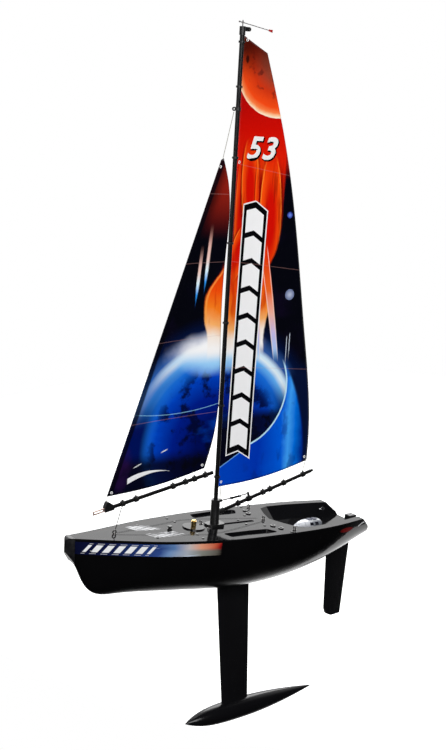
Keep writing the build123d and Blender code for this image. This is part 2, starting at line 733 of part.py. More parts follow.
def upright_eye(x, y, facing, radius=2.0, wire=0.5):
    """Wire eye that stands on the deck on a small round foot, turned to face a direction."""
    z = sheer(x)
    with BuildPart() as e:
        with BuildSketch(Plane((x, y, z - 1.0))):
            Circle(radius + 0.4)
        extrude(amount=1.8)
        put(ring((x, y, z + 0.6 + radius), facing, radius, wire))
    return e.part


EYES = [(51, 9.5), (51, -9.5), (-46, 0), (-59, 50), (-59, -50)]
with BuildPart() as deck_eyes:
    for x, y in EYES:
        put(upright_eye(x, y, (1, 0, 0)))
    put(upright_eye(FOOT_X, 0, (0, 1, 0), 2.2, 0.6))
    add(deck_moulding.part, mode=Mode.SUBTRACT)
save(deck_eyes.part, "deck_eyes")

with BuildPart() as sheet_grommets:
    for side in (1, -1):
        for x, y in SHEET_HOLES:
            put(tube(2.6, 1.5, 4.4, Plane((x, side * y, sheer(x) - 3.0))))
            put(tube(3.6, 1.5, 0.9, Plane((x, side * y, sheer(x) + 0.5))))
save(sheet_grommets.part, "sheet_grommets")

SCREWS = [(81, 26), (83, 41), (-10, 9), (-31, 22), (-50, 55), (140, 24)]
with BuildPart() as deck_screws:
    for x, y in SCREWS:
        for side in (1, -1):
            with Locations((x, side * y, sheer(x) - 0.6)):
                Cylinder(1.7, 1.4, align=(Align.CENTER, Align.CENTER, Align.MIN))
    add(deck_moulding.part, mode=Mode.SUBTRACT)
    # two longer ones hold the fin by its lock plate, down in the slot
    with Locations((18, 0, FIN_TOP_Z + 3), (-18, 0, FIN_TOP_Z + 3)):
        Cylinder(2.4, 1.6, align=(Align.CENTER, Align.CENTER, Align.MIN))
        Cylinder(1.5, 3.0, align=(Align.CENTER, Align.CENTER, Align.MAX))
save(deck_screws.part, "deck_screws")

BUTTON_Z = sheer(BUTTON_X)
with BuildPart() as power_switch:
    with BuildSketch(Plane((BUTTON_X, 0, BUTTON_Z - 12))):
        Rectangle(12, 10)
    extrude(amount=9.2)
    put(tube(3.1, 2.2, 4.6, Plane((BUTTON_X, 0, BUTTON_Z - 2.8))))
save(power_switch.part, "power_switch")

with BuildPart() as power_button:
    put(tube(2.1, 0, 4.0, Plane((BUTTON_X, 0, BUTTON_Z - 0.4))))
    put(tube(3.0, 0, 1.6, Plane((BUTTON_X, 0, BUTTON_Z + 3.6))))
save(power_button.part, "power_button")

TOW_X = -206.0
with BuildPart() as tow_block:
    with BuildSketch(Plane.XZ):
        with Locations((TOW_X, cockpit_floor(TOW_X) + 4.2)):
            RectangleRounded(13, 8.0, 1.6)
            Circle(1.5, mode=Mode.SUBTRACT)
    extrude(amount=5, both=True)
    add(deck_moulding.part, mode=Mode.SUBTRACT)
save(tow_block.part, "tow_block")

# ---------------------------------------------------------------- main boom and sail
TILT, JTILT = radians(BOOM_TILT), radians(JIB_TILT)


def on_boom(distance, lift=0.0):
    """Point of the main boom's line, so far aft of the mast axis and above the line."""
    return (MAST_X - distance * cos(TILT) + lift * sin(TILT), 0,
            BOOM_ROOT_Z + distance * sin(TILT) + lift * cos(TILT))


def on_jib_boom(distance, lift=0.0):
    """Point of the jib boom's line, so far aft of its front end and above the line."""
    return (JIB_FRONT[0] - distance * cos(JTILT) + lift * sin(JTILT), 0,
            JIB_FRONT[1] + distance * sin(JTILT) + lift * cos(JTILT))


with BuildPart() as gooseneck:
    put(tube(GOOSE_R, MAST_R + RUN_FIT, GOOSE_Z1 - GOOSE_Z0, Plane((MAST_X, 0, GOOSE_Z0))))
    put(rod(on_boom(4.6), on_boom(14.0), BOOM_R + 1.0))
    with BuildSketch(Plane.XY.offset(GOOSE_Z1 - 4.5)):
        with Locations((MAST_X - 7, 0)):
            Rectangle(5.0, 3.0)
    extrude(amount=3.5)
    add(tube(MAST_R + RUN_FIT, 0, 60, Plane((MAST_X, 0, GOOSE_Z0 - 10))), mode=Mode.SUBTRACT)
    add(rod(on_boom(8.0), on_boom(20.0), BOOM_R), mode=Mode.SUBTRACT)
save(gooseneck.part, "gooseneck")

with BuildPart() as main_boom:
    put(rod(on_boom(8.0), on_boom(BOOM_LENGTH), BOOM_R))
save(main_boom.part, "main_boom")


def clip(where, spot):
    """Collar that grips a boom, with a small lug on top."""
    with BuildPart() as c:
        a, b = where(spot - 2.0), where(spot + 2.0)
        put(rod(a, b, BOOM_R + 1.3))
        put(rod(where(spot, BOOM_R + 0.6), where(spot, BOOM_R + 2.6), 1.1))
        add(rod(where(spot - 4.0), where(spot + 4.0), BOOM_R), mode=Mode.SUBTRACT)
    return c.part


MAIN_CLIPS = (38.0, 80.0, 92.0, 116.0, 150.0)
with BuildPart() as main_boom_clips:
    for spot in MAIN_CLIPS:
        put(clip(on_boom, spot))
save(main_boom_clips.part, "main_boom_clips")

POST_AT = 56.0
with BuildPart() as vang_post:
    put(rod(on_boom(POST_AT - 2.5), on_boom(POST_AT + 2.5), BOOM_R + 1.5))
    put(rod(on_boom(POST_AT, BOOM_R), on_boom(POST_AT, 9.5), 1.5))
    add(rod(on_boom(POST_AT - 4), on_boom(POST_AT + 4), BOOM_R), mode=Mode.SUBTRACT)
save(vang_post.part, "vang_post")

VANG_A, VANG_B = (MAST_X - 9.8, 0, GOOSE_Z1 - 3.0), on_boom(POST_AT - 1.6, 7.6)
vang_plane, vang_length = aimed(VANG_A, VANG_B)
with BuildPart() as vang_rod:
    put(rod(VANG_A, VANG_B, 0.8))
save(vang_rod.part, "vang_rod")

with BuildPart() as vang_barrel:
    put(tube(1.8, 0.8, 11, vang_plane.offset(vang_length * 0.4)))
    put(tube(2.3, 0.8, 2.0, vang_plane.offset(vang_length * 0.4 - 2)))
    put(tube(2.3, 0.8, 2.0, vang_plane.offset(vang_length * 0.4 + 11)))
save(vang_barrel.part, "vang_barrel")

with BuildPart() as main_boom_end:
    put(rod(on_boom(BOOM_LENGTH), on_boom(BOOM_LENGTH + 3.4), BOOM_R))
    put(rod(on_boom(BOOM_LENGTH + 3.4), on_boom(BOOM_LENGTH + 4.6), 0.9))
    with Locations(on_boom(BOOM_LENGTH + 6.0)):
        Sphere(1.9)
save(main_boom_end.part, "main_boom_end")

LUFF_X = MAST_X - 4.0
MAIN_OUTLINE_FOOT = [(LUFF_X, 137.0), (-30, 138.5), (-80, 144.0), (-115, 152.0)]
MAIN_OUTLINE_LEECH = [(-115, 154.5), (-115, 182.0), (-94, 336.0), (-70, 461.5), (-40, 581.0), (-4, 683.0)]
with BuildPart() as main_sail:
    with BuildSketch(Plane.XZ):
        with BuildLine():
            foot = Spline(*MAIN_OUTLINE_FOOT)
            leech = Spline(*MAIN_OUTLINE_LEECH)
            Line(foot @ 1, leech @ 0)
            Line(leech @ 1, (LUFF_X, 701.0))
            Line((LUFF_X, 701.0), foot @ 0)
        make_face()
    extrude(amount=SAIL_T / 2, both=True)
save(main_sail.part, "main_sail")

LUFF_RINGS_Z = (150, 245, 352, 452, 556, 640, 692)
with BuildPart() as luff_rings:
    for z in LUFF_RINGS_Z:
        put(tube(MAST_R + 1.2, MAST_R + RUN_FIT, 2.4, Plane((MAST_X, 0, z))))
save(luff_rings.part, "luff_rings")

with BuildPart() as main_sail_ties:
    put(rod((-113.6, 0, 155.4), on_boom(150.0, BOOM_R + 2.8), 0.5))
    put(rod((LUFF_X - 3.0, 0, 136.6), (LUFF_X - 3.0, 0, GOOSE_Z1 - 0.7), 0.5))
save(main_sail_ties.part, "main_sail_ties")

# ---------------------------------------------------------------- jib boom and sail
with BuildPart() as jib_boom:
    put(rod(on_jib_boom(0), on_jib_boom(JIB_LENGTH), BOOM_R))
save(jib_boom.part, "jib_boom")


def on_swivel(z):
    """Point of the jib's turning axis at a height."""
    step = (z - FOOT_Z) / (HEAD_Z - FOOT_Z)
    return (FOOT_X + (HEAD_X - FOOT_X) * step, 0, z)


PIVOT_Z = 136.8
pivot_spot = (JIB_FRONT[0] - on_swivel(PIVOT_Z)[0]) / cos(JTILT)
JIB_CLIPS = (44.0, 99.0, 118.0, 132.0, 149.0)
with BuildPart() as jib_boom_clips:
    for spot in (pivot_spot, *JIB_CLIPS):
        put(clip(on_jib_boom, spot))
save(jib_boom_clips.part, "jib_boom_clips")

with BuildPart() as jib_nose_clip:
    with BuildSketch(Plane.XZ):
        Polygon(on_jib_boom(-2.0, -2.8)[::2], on_jib_boom(-2.0, 2.8)[::2], on_jib_boom(2.0, 9.4)[::2],
                on_jib_boom(4.2, 9.4)[::2], on_jib_boom(11.0, 3.2)[::2], on_jib_boom(11.0, -3.0)[::2], align=None)
    extrude(amount=2.9, both=True)
    add(rod(on_jib_boom(0), on_jib_boom(20.0), BOOM_R), mode=Mode.SUBTRACT)
save(jib_nose_clip.part, "jib_nose_clip")

with BuildPart() as jib_counterweight:
    for lift in (-1.7, 1.7):
        put(rod(on_jib_boom(-2.0, lift), on_jib_boom(-17.5, lift), 0.9))
    put(rod(on_jib_boom(-16.6, -2.4), on_jib_boom(-16.6, 2.4), 0.9))
save(jib_counterweight.part, "jib_counterweight")

LUFF_LOW, LUFF_HIGH = (201.0, 149.0), (57.0, 554.0)
with BuildPart() as jib_sail:
    with BuildSketch(Plane.XZ):
        with BuildLine():
            low = Spline(LUFF_LOW, (160, 149.5), (100, 156.5), (57.0, 165.6))
            high = Spline((46.0, 203.0), (42.5, 330.0), (42.0, 440.0), (44.0, 528.0), (53.0, 556.0))
            Line(low @ 1, high @ 0)
            Line(high @ 1, LUFF_HIGH)
            Line(LUFF_HIGH, low @ 0)
        make_face()
    extrude(amount=SAIL_T / 2, both=True)
save(jib_sail.part, "jib_sail")

with BuildPart() as jib_lines:
    put(rod(on_jib_boom(3.0, 9.6), (LUFF_LOW[0] - 0.4, 0, LUFF_LOW[1] - 0.6), 0.4))
    put(rod((LUFF_HIGH[0] - 2.6, 0, LUFF_HIGH[1] + 1.6), (HEAD_X + 0.4, 0, HEAD_Z - 3.4), 0.4))
    put(rod((58.0, 0, 164.6), on_jib_boom(149.0, BOOM_R + 2.7), 0.4))
save(jib_lines.part, "jib_lines")

with BuildPart() as jib_swivel_line:
    put(rod(on_swivel(FOOT_Z + 4.8), on_swivel(PIVOT_Z - 5.0), 0.5))
save(jib_swivel_line.part, "jib_swivel_line")

with BuildPart() as stern_hook:
    put(rod((-160, -39.6, 62), (-178, -31.5, 63.5), 0.6))
    put(ring((-180.4, -31.0, 63.8), (0.2, 1, 0), 2.2, 0.5))
    add(deck_moulding.part, mode=Mode.SUBTRACT)
save(stern_hook.part, "stern_hook")
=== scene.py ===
"""Looks of a radio-controlled racing yacht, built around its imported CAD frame.

Every length is in metres.  +X is the bow, +Y is port and +Z is up the mast.
"""
from math import cos, pi, radians, sin

import bmesh
import bpy
import numpy as np
from mathutils import Matrix, Vector


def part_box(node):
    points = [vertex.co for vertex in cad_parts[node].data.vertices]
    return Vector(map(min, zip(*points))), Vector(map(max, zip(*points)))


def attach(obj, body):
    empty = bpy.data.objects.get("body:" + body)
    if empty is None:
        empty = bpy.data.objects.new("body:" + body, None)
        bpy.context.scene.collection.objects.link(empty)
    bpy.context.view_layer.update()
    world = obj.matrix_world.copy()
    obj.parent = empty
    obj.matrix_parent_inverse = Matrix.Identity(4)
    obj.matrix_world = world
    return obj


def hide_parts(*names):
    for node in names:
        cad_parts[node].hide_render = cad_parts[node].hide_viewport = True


bl_info = {
    "name": "Radio Yacht",
    "version": (1, 0, 0),
    "blender": (4, 5, 0),
    "location": "View3D > Sidebar > Yacht",
    "description": "Sails, finishes, fittings and studio for a radio-controlled racing yacht",
    "category": "Object",
}

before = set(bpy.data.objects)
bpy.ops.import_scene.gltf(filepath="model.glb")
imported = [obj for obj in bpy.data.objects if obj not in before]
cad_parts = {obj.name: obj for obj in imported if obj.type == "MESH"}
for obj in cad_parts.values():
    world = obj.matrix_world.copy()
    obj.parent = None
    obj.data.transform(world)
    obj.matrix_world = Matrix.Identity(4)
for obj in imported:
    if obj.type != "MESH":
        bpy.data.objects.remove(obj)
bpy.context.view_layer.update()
MM = 0.001
FLOOR_SLOPE = 0.0516  # rise of the cockpit floor towards the bow


# ---------------- node formulas
class Value:
    """An output socket that can be used in a written formula."""

    def __init__(self, paint, socket):
        self.paint, self.socket = paint, socket

    def __add__(self, other):
        return self.paint.math("ADD", self, other)

    def __sub__(self, other):
        return self.paint.math("SUBTRACT", self, other)

    def __rsub__(self, other):
        return self.paint.math("SUBTRACT", other, self)

    def __mul__(self, other):
        return self.paint.math("MULTIPLY", self, other)

    def __truediv__(self, other):
        return self.paint.math("DIVIDE", self, other)

    __radd__, __rmul__ = __add__, __mul__

    def abs(self):
        return self.paint.math("ABSOLUTE", self)

    def root(self):
        return self.paint.math("SQRT", self)

    def most(self, other):
        return self.paint.math("MAXIMUM", self, other)

    def least(self, other):
        return self.paint.math("MINIMUM", self, other)

    def wrap(self, period):
        """Distance to the nearest multiple of the period."""
        return self.paint.math("PINGPONG", self, period / 2)


class Paint:
    """Builds one node material from short formulas of place, in millimetres."""

    def __init__(self, name):
        self.material = bpy.data.materials.new(name)
        self.material.use_nodes = True
        self.nodes = self.material.node_tree.nodes
        self.links = self.material.node_tree.links
        self.shader = next(n for n in self.nodes if n.type == "BSDF_PRINCIPLED")
        coordinates = self.nodes.new("ShaderNodeTexCoord")
        scaled = self.nodes.new("ShaderNodeVectorMath")
        scaled.operation = "SCALE"
        scaled.inputs["Scale"].default_value = 1 / MM
        self.links.new(coordinates.outputs["Object"], scaled.inputs[0])
        self.place = Value(self, scaled.outputs[0])
        parts = self.nodes.new("ShaderNodeSeparateXYZ")
        self.links.new(scaled.outputs[0], parts.inputs[0])
        self.x, self.y, self.z = (Value(self, o) for o in parts.outputs)

    def join(self, socket, value):
        """Feed a socket from a formula, or set it to a constant."""
        if isinstance(value, Value):
            self.links.new(value.socket, socket)
        elif isinstance(value, (tuple, list)):
            opaque = len(value) == 3 and len(socket.default_value) == 4
            socket.default_value = (*value, 1.0) if opaque else value
        else:
            socket.default_value = value

    def math(self, operation, first, second=None):
        """One arithmetic step."""
        node = self.nodes.new("ShaderNodeMath")
        node.operation = operation
        self.join(node.inputs[0], first)
        if second is not None:
            self.join(node.inputs[1], second)
        return Value(self, node.outputs[0])

    def edge(self, value, low, high):
        """Smooth step from 0 at low to 1 at high; low may be above high."""
        node = self.nodes.new("ShaderNodeMapRange")
        node.interpolation_type = "SMOOTHSTEP"
        backwards = low > high
        for name, number in (("Value", value), ("From Min", min(low, high)), ("From Max", max(low, high)),
                             ("To Min", float(backwards)), ("To Max", float(not backwards))):
            self.join(node.inputs[name], number)
        return Value(self, node.outputs["Result"])

    def noise(self, scale, detail=2.0, stretch=(1, 1, 1), roughness=0.5):
        """Cloudy value from 0 to 1; scale is in cells a millimetre."""
        mapping = self.nodes.new("ShaderNodeMapping")
        mapping.inputs["Scale"].default_value = stretch
        self.links.new(self.place.socket, mapping.inputs["Vector"])
        node = self.nodes.new("ShaderNodeTexNoise")
        node.inputs["Scale"].default_value = scale
        node.inputs["Detail"].default_value = detail
        node.inputs["Roughness"].default_value = roughness
        self.links.new(mapping.outputs[0], node.inputs["Vector"])
        return Value(self, node.outputs["Fac"])

    def mix(self, amount, first, second):
        """Blend two colours: none of the second at 0, all of it at 1."""
        node = self.nodes.new("ShaderNodeMix")
        node.data_type = "RGBA"
        self.join(node.inputs[0], amount)
        self.join(node.inputs[6], first)
        self.join(node.inputs[7], second)
        return Value(self, node.outputs[2])

    def ramp(self, value, stops):
        """Colour along a value; stops are (value, colour) in rising order."""
        low, high = stops[0][0], stops[-1][0]
        node = self.nodes.new("ShaderNodeValToRGB")
        self.join(node.inputs[0], (value - low) / (high - low))
        elements = node.color_ramp.elements
        while len(elements) < len(stops):
            elements.new(0.5)
        for element, (at, colour) in zip(elements, stops):
            element.position = (at - low) / (high - low)
            element.color = (*colour, 1.0)
        return Value(self, node.outputs["Color"])

    def distance(self, cx, cz):
        """Distance in the fore-and-aft plane from a point."""
        dx, dz = self.x - cx, self.z - cz
        return (dx * dx + dz * dz).root()

    def bump(self, height, depth, strength=1.0):
        """Relief of a height formula; depth is in millimetres."""
        node = self.nodes.new("ShaderNodeBump")
        node.inputs["Strength"].default_value = strength
        node.inputs["Distance"].default_value = depth * MM
        self.join(node.inputs["Height"], height)
        self.links.new(node.outputs[0], self.shader.inputs["Normal"])

    def finish(self, colour, roughness, metallic=0.0, **constants):
        """Set the shader, and give the material back."""
        self.join(self.shader.inputs["Base Color"], colour)
        self.join(self.shader.inputs["Roughness"], roughness)
        self.shader.inputs["Metallic"].default_value = metallic
        for name, value in constants.items():
            self.shader.inputs[name.replace("_", " ")].default_value = value
        return self.material


def tint(colour, strength):
    """A darker or brighter shade of a colour."""
    return tuple(part * strength for part in colour)


def sheer(x):
    """Height of the deck edge at x, both in millimetres: a cubic that rises to the bow."""
    t = (x - 36.0) / 200.0
    return t * 15.2 + t * t * 3.6 + t * t * t * 0.8 + 85.0


# ---------------- materials
def gloss_moulding(name, colour, grain=0.35):
    """Polished black moulding: faint flow marks, slight orange peel and fine dust."""
    p = Paint(name)
    flow = p.noise(0.02, 3.0)
    dust = p.edge(p.noise(1.1, 2.0, roughness=0.7), 0.72, 0.80)
    tone = p.mix(flow, tint(colour, 0.5), colour)
    tone = p.mix(dust * 0.10, tone, (0.10, 0.10, 0.11))
    p.bump(p.noise(grain, 2.0) + dust * 0.2, 0.012, 0.2)
    return p, tone, p.noise(0.05, 3.0) * 0.06 + dust * 0.10 + 0.05


def hull_material(settings):
    """Black hull with a bow flash under the deck edge that runs navy, blue, white, peach and red."""
    p, tone, rough = gloss_moulding("hull gloss", tuple(settings.hull_colour))
    drop = sheer(p.x) - p.z
    flow = p.noise(0.05, 4.0, (0.25, 1, 1.6))
    along = p.x + (flow - 0.5) * 22.0
    upper = p.ramp(along, [
        (62, (0.004, 0.003, 0.003)), (66, (0.30, 0.01, 0.01)), (74, (0.55, 0.10, 0.05)),
        (92, (0.75, 0.33, 0.20)), (108, (0.55, 0.50, 0.50)), (128, (0.10, 0.20, 0.42)),
        (148, (0.02, 0.05, 0.20)), (200, (0.006, 0.010, 0.055)), (250, (0.003, 0.004, 0.02))])
    lower = p.ramp(along, [
        (62, (0.004, 0.003, 0.003)), (70, (0.12, 0.11, 0.09)), (95, (0.26, 0.27, 0.24)),
        (112, (0.40, 0.44, 0.50)), (135, (0.16, 0.28, 0.52)), (150, (0.03, 0.07, 0.26)),
        (200, (0.006, 0.010, 0.06)), (250, (0.003, 0.004, 0.02))])
    flash = p.mix(p.edge(drop, 9.0, 14.0), upper, lower)
    streaks = p.edge(p.noise(0.09, 4.0, (0.16, 1, 2.2)), 0.56, 0.70)
    glint = streaks * p.edge(p.x, 88, 112) * p.edge(p.x, 160, 138)
    flash = p.mix(glint, flash, (0.62, 0.74, 0.90))
    inside = p.edge(drop, 3.4, 3.8) * p.edge(drop, 20.2, 19.8) * p.edge(p.x, 61.5, 63.5)
    tone = p.mix(inside, tone, flash)
    # slanted bars, with a thin echo line above and below
    slant = p.x - (drop - 12.0) * 0.75
    bars = p.edge(slant.wrap(13.4), 2.5, 2.9) * p.edge(slant, 153.5, 154) * p.edge(slant, 235, 234.5)
    body = bars * p.edge(drop, 6.9, 7.3) * p.edge(drop, 16.6, 16.2)
    echo = bars * (p.edge((drop - 5.4).abs(), 0.5, 0.3) + p.edge((drop - 18.3).abs(), 0.5, 0.3))
    tone = p.mix((body + echo * 0.55).least(1.0), tone, (0.86, 0.87, 0.88))
    # a dark red oval and a white tick on each quarter
    quarter = ((p.x + 152) * (p.x + 152) / 260 + (drop - 10.0) * (drop - 10.0) / 16).root()
    tone = p.mix(p.edge(quarter, 1.0, 0.6) * 0.8, tone, (0.16, 0.006, 0.006))
    tick = (drop - 6.0 - (p.x + 186) * (p.x + 186) * 0.02 - (p.x + 186) * 0.25).abs()
    inside_tick = p.edge(p.x, -193, -191) * p.edge(p.x, -176, -178) * p.edge(p.z - p.x, 257.6, 256.4)
    tone = p.mix(p.edge(tick, 0.9, 0.5) * inside_tick, tone, (0.75, 0.76, 0.78))
    return p.finish(tone, rough + p.edge(drop, 25, 70) * 0.16, Specular_IOR_Level=0.32)


def deck_material(settings):
    """Polished black deck with pale slanted bars printed on the foredeck."""
    p, tone, rough = gloss_moulding("deck gloss", tuple(settings.deck_colour))
    slant = p.x + p.y * 0.9
    worn = p.edge(p.noise(0.12, 3.0, (0.3, 1, 1)), 0.30, 0.62)
    row = p.edge(p.y, -24, -22.5) * p.edge(p.y, -4, -5.5) + p.edge(p.y, 6, 7.5) * p.edge(p.y, 24, 22.5)
    reach = p.edge(slant - p.y * 0.17, 110, 111) * p.edge(slant - p.y * 0.57, 151.5, 150.5)
    bars = p.edge((slant - 2).wrap(8.4), 1.1, 1.6) * reach * row
    top = p.edge(p.z - sheer(p.x), -1.4, -1.0)
    tone = p.mix(bars * top * worn * 0.9, tone, (0.80, 0.81, 0.84))
    return p.finish(tone, rough, IOR=1.52, Specular_IOR_Level=0.28, Coat_Weight=0.15, Coat_Roughness=0.02)


def satin_plastic(name, colour, roughness=0.38, grain=2.2, depth=0.03):
    """Moulded plastic with a fine spark-eroded grain and slightly worn high spots."""
    p = Paint(name)
    fine, broad = p.noise(grain, 3.0), p.noise(0.12, 3.0)
    tone = p.mix(broad, tint(colour, 0.75), tuple(min(1.0, c * 1.3 + 0.002) for c in colour))
    scuffs = p.edge(p.noise(0.5, 4.0, (0.3, 1, 1), 0.7), 0.66, 0.76)
    tone = p.mix(scuffs * 0.06, tone, (0.30, 0.30, 0.31))
    p.bump(fine, depth, 0.4)
    return p.finish(tone, broad * 0.12 + scuffs * 0.1 + roughness - 0.06, Specular_IOR_Level=0.35)


def foil_material(name, colour):
    """Keel and rudder finish: satin black with fine lengthwise sanding marks and small nicks."""
    p = Paint(name)
    grain = p.noise(0.8, 3.0, (0.12, 1, 1))
    nicks = p.edge(p.noise(0.35, 4.0, roughness=0.8), 0.72, 0.80)
    tone = p.mix(p.noise(0.03, 3.0), tint(colour, 0.7), colour)
    tone = p.mix(nicks * 0.2, tone, (0.09, 0.085, 0.085))
    p.bump(grain + nicks * 0.4, 0.02, 0.3)
    return p.finish(tone, grain * 0.10 + 0.14, Specular_IOR_Level=0.25)


def spar_material(name, colour):
    """Black anodised tube: drawn lengthwise, so its fine lines run along Z."""
    p = Paint(name)
    drawn = p.noise(2.4, 3.0, (1, 1, 0.03))
    cloud = p.noise(0.03, 3.0)
    tone = p.mix(cloud, tint(colour, 0.6), tint(colour, 1.5))
    p.bump(drawn, 0.012, 0.4)
    return p.finish(tone, drawn * 0.14 + 0.20, 0.2, Specular_IOR_Level=0.2)


def metal_material(name, colour, roughness=0.18, lines=(1, 1, 0.1)):
    """Turned or drawn metal with fine tool lines and slight tarnish."""
    p = Paint(name)
    tool = p.noise(5.0, 3.0, lines)
    tarnish = p.noise(0.35, 4.0)
    tone = p.mix(p.edge(tarnish, 0.35, 0.8) * 0.5, colour, tint(colour, 0.55))
    p.bump(tool, 0.01, 0.5)
    return p.finish(tone, tool * 0.12 + tarnish * 0.08 + roughness - 0.06, 1.0)


def rubber_material(name):
    """Soft black rubber: matt, with moulding pips and a paler bloom."""
    p = Paint(name)
    bloom = p.noise(0.15, 3.0)
    tone = p.mix(p.edge(bloom, 0.45, 0.75), (0.006, 0.006, 0.007), (0.018, 0.018, 0.019))
    p.bump(p.noise(1.6, 3.0), 0.05, 0.3)
    return p.finish(tone, bloom * 0.15 + 0.22, Specular_IOR_Level=0.35)


def line_material(name, colour):
    """Braided rigging line: crossed strands that repeat each millimetre, with painted shade in the grooves
    between them.
    """
    p = Paint(name)
    strands = ((p.z + p.x * 0.6).wrap(0.9) * 2.2) * ((p.z - p.x * 0.6).wrap(0.9) * 2.2)
    # the tone falls to 0.4 in the grooves between the strands: painted shade; the same pattern also gives the
    # bump
    tone = p.mix(strands, tint(colour, 0.4), colour)
    p.bump(strands, 0.12, 0.6)
    return p.finish(tone, p.noise(1.0) * 0.1 + 0.7, Specular_IOR_Level=0.1)


def hatch_material():
    """Silver-white moulded hatch: grey panel lines, dark side windows, a darker tail and painted shade along
    its foot.
    """
    p = Paint("hatch silver")
    low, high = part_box("cockpit_hatch")
    nose, bottom = high.x / MM, low.z / MM
    back = (p.x - nose) * -1
    panel = p.edge(back.wrap(9.0), 0.2, 0.4)
    soft = p.noise(0.12, 3.0)
    tone = p.mix(soft, (0.26, 0.28, 0.33), (0.80, 0.81, 0.84))
    tone = p.mix((1 - panel) * 0.6, tone, (0.12, 0.13, 0.16))
    tail = p.edge(back, 27, 33)
    tone = p.mix(tail * 0.85, tone, (0.08, 0.09, 0.11))
    rise = p.z - bottom - (p.x - low.x / MM) * FLOOR_SLOPE
    window = ((back - 28).abs().least((back - 37).abs()) - 2.9).most((rise - 5.2).abs() - 1.9)
    tone = p.mix(p.edge(window, 0.3, -0.1) * p.edge(p.y.abs(), 3.5, 4.5), tone, (0.005, 0.006, 0.012))
    # near-black band in the lowest 2 mm, where the pod meets the cockpit floor: painted shade
    tone = p.mix(p.edge(rise, 2.0, 1.4) * 0.9, tone, (0.02, 0.02, 0.025))
    p.bump(panel, 0.12, 0.6)
    return p.finish(tone, soft * 0.1 + 0.16, IOR=1.5, Coat_Weight=0.4, Coat_Roughness=0.04)


def window_material():
    """Smoked window with a blue cast."""
    p = Paint("smoked window")
    haze = p.noise(0.3, 3.0)
    return p.finish(p.mix(haze, (0.006, 0.009, 0.03), (0.02, 0.03, 0.09)), haze * 0.05 + 0.05, IOR=1.5)


# ---------------- sail print
NIGHT = (0.0016, 0.0018, 0.0045)


def petal(p, tone, flow, centre_x, centre_z, half, reach, lean, fill, rim):
    """Long pointed petal: an oval that leans, with a bright rim that fades towards its middle."""
    dx = (p.x - centre_x - (p.z - centre_z) * lean) / half
    dz = (p.z - centre_z) / reach
    ring = (dx * dx + dz * dz).root() + flow * 0.06
    fade = p.edge(dz, 0.95, 0.45)
    inside = p.edge(ring, 1.02, 0.96) * fade
    tone = p.mix(p.edge((ring - 1.08).abs(), 0.13, 0.02) * fade * fill * 0.75, tone, (0.10, 0.001, 0.001))
    body = p.mix(p.edge(ring, 0.3, 0.95), (0.66, 0.004, 0.001), (1.0, 0.085, 0.004))
    tone = p.mix(inside * fill, tone, body)
    return p.mix(p.edge((ring - 0.95).abs(), 0.055, 0.01) * fade * rim, tone, (1.0, 0.30, 0.03))


def warm_field(p, flow):
    """Upper main: dark head, a glowing disc with a pale rim, then red with flame petals."""
    tone = p.ramp(p.z + flow * 16, [
        (420, (0.42, 0.020, 0.002)), (470, (0.62, 0.018, 0.002)), (530, (0.80, 0.016, 0.002)),
        (590, (0.62, 0.004, 0.001)), (632, (0.44, 0.002, 0.002)), (700, (0.26, 0.004, 0.002))])
    for petal_shape in (
            (22, 478, 9, 84, 0.02, 0.8, 0.5), (8, 520, 14, 66, 0.06, 0.9, 0.8),
            (-9, 500, 8, 70, 0.05, 0.8, 0.3), (-27, 482, 17, 88, 0.05, 0.95, 0.9),
            (22, 440, 15, 40, -0.34, 0.9, 0.8)):
        tone = petal(p, tone, flow, *petal_shape)
    folds = p.edge(p.noise(0.16, 3.0, (1.0, 1.0, 0.09)), 0.52, 0.64) * p.edge(p.z, 562, 530)
    tone = p.mix(folds * 0.5, tone, (0.22, 0.002, 0.001))
    disc = p.distance(-25.0, 676.5) + (p.noise(0.08, 3.0) - 0.5) * 2.2
    glow = p.ramp(disc + flow * 7, [
        (0, (0.16, 0.050, 0.030)), (26, (0.30, 0.045, 0.022)), (42, (0.62, 0.035, 0.006)),
        (58, (0.90, 0.070, 0.008)), (64, (0.95, 0.22, 0.06)), (67.5, (1.0, 0.62, 0.36)),
        (70, (1.0, 0.86, 0.68))])
    tone = p.mix(p.edge(disc, 70.4, 69.4), tone, glow)
    blots = p.edge(p.noise(0.09, 4.0), 0.56, 0.68) * p.edge(disc, 58, 38)
    tone = p.mix(blots * 0.7, tone, (0.10, 0.012, 0.008))
    head = p.edge(p.z + p.x * 0.3 + flow * 22, 648, 700)
    tone = p.mix(head * 0.94, tone, (0.025, 0.002, 0.002))
    spot = ((p.x - 25) * (p.x - 25) * 0.5 + (p.z - 674) * (p.z - 674) * 0.16).root() + flow * 2
    return p.mix(p.edge(spot, 2.6, 1.4) * 0.85, tone, (0.01, 0.002, 0.002))


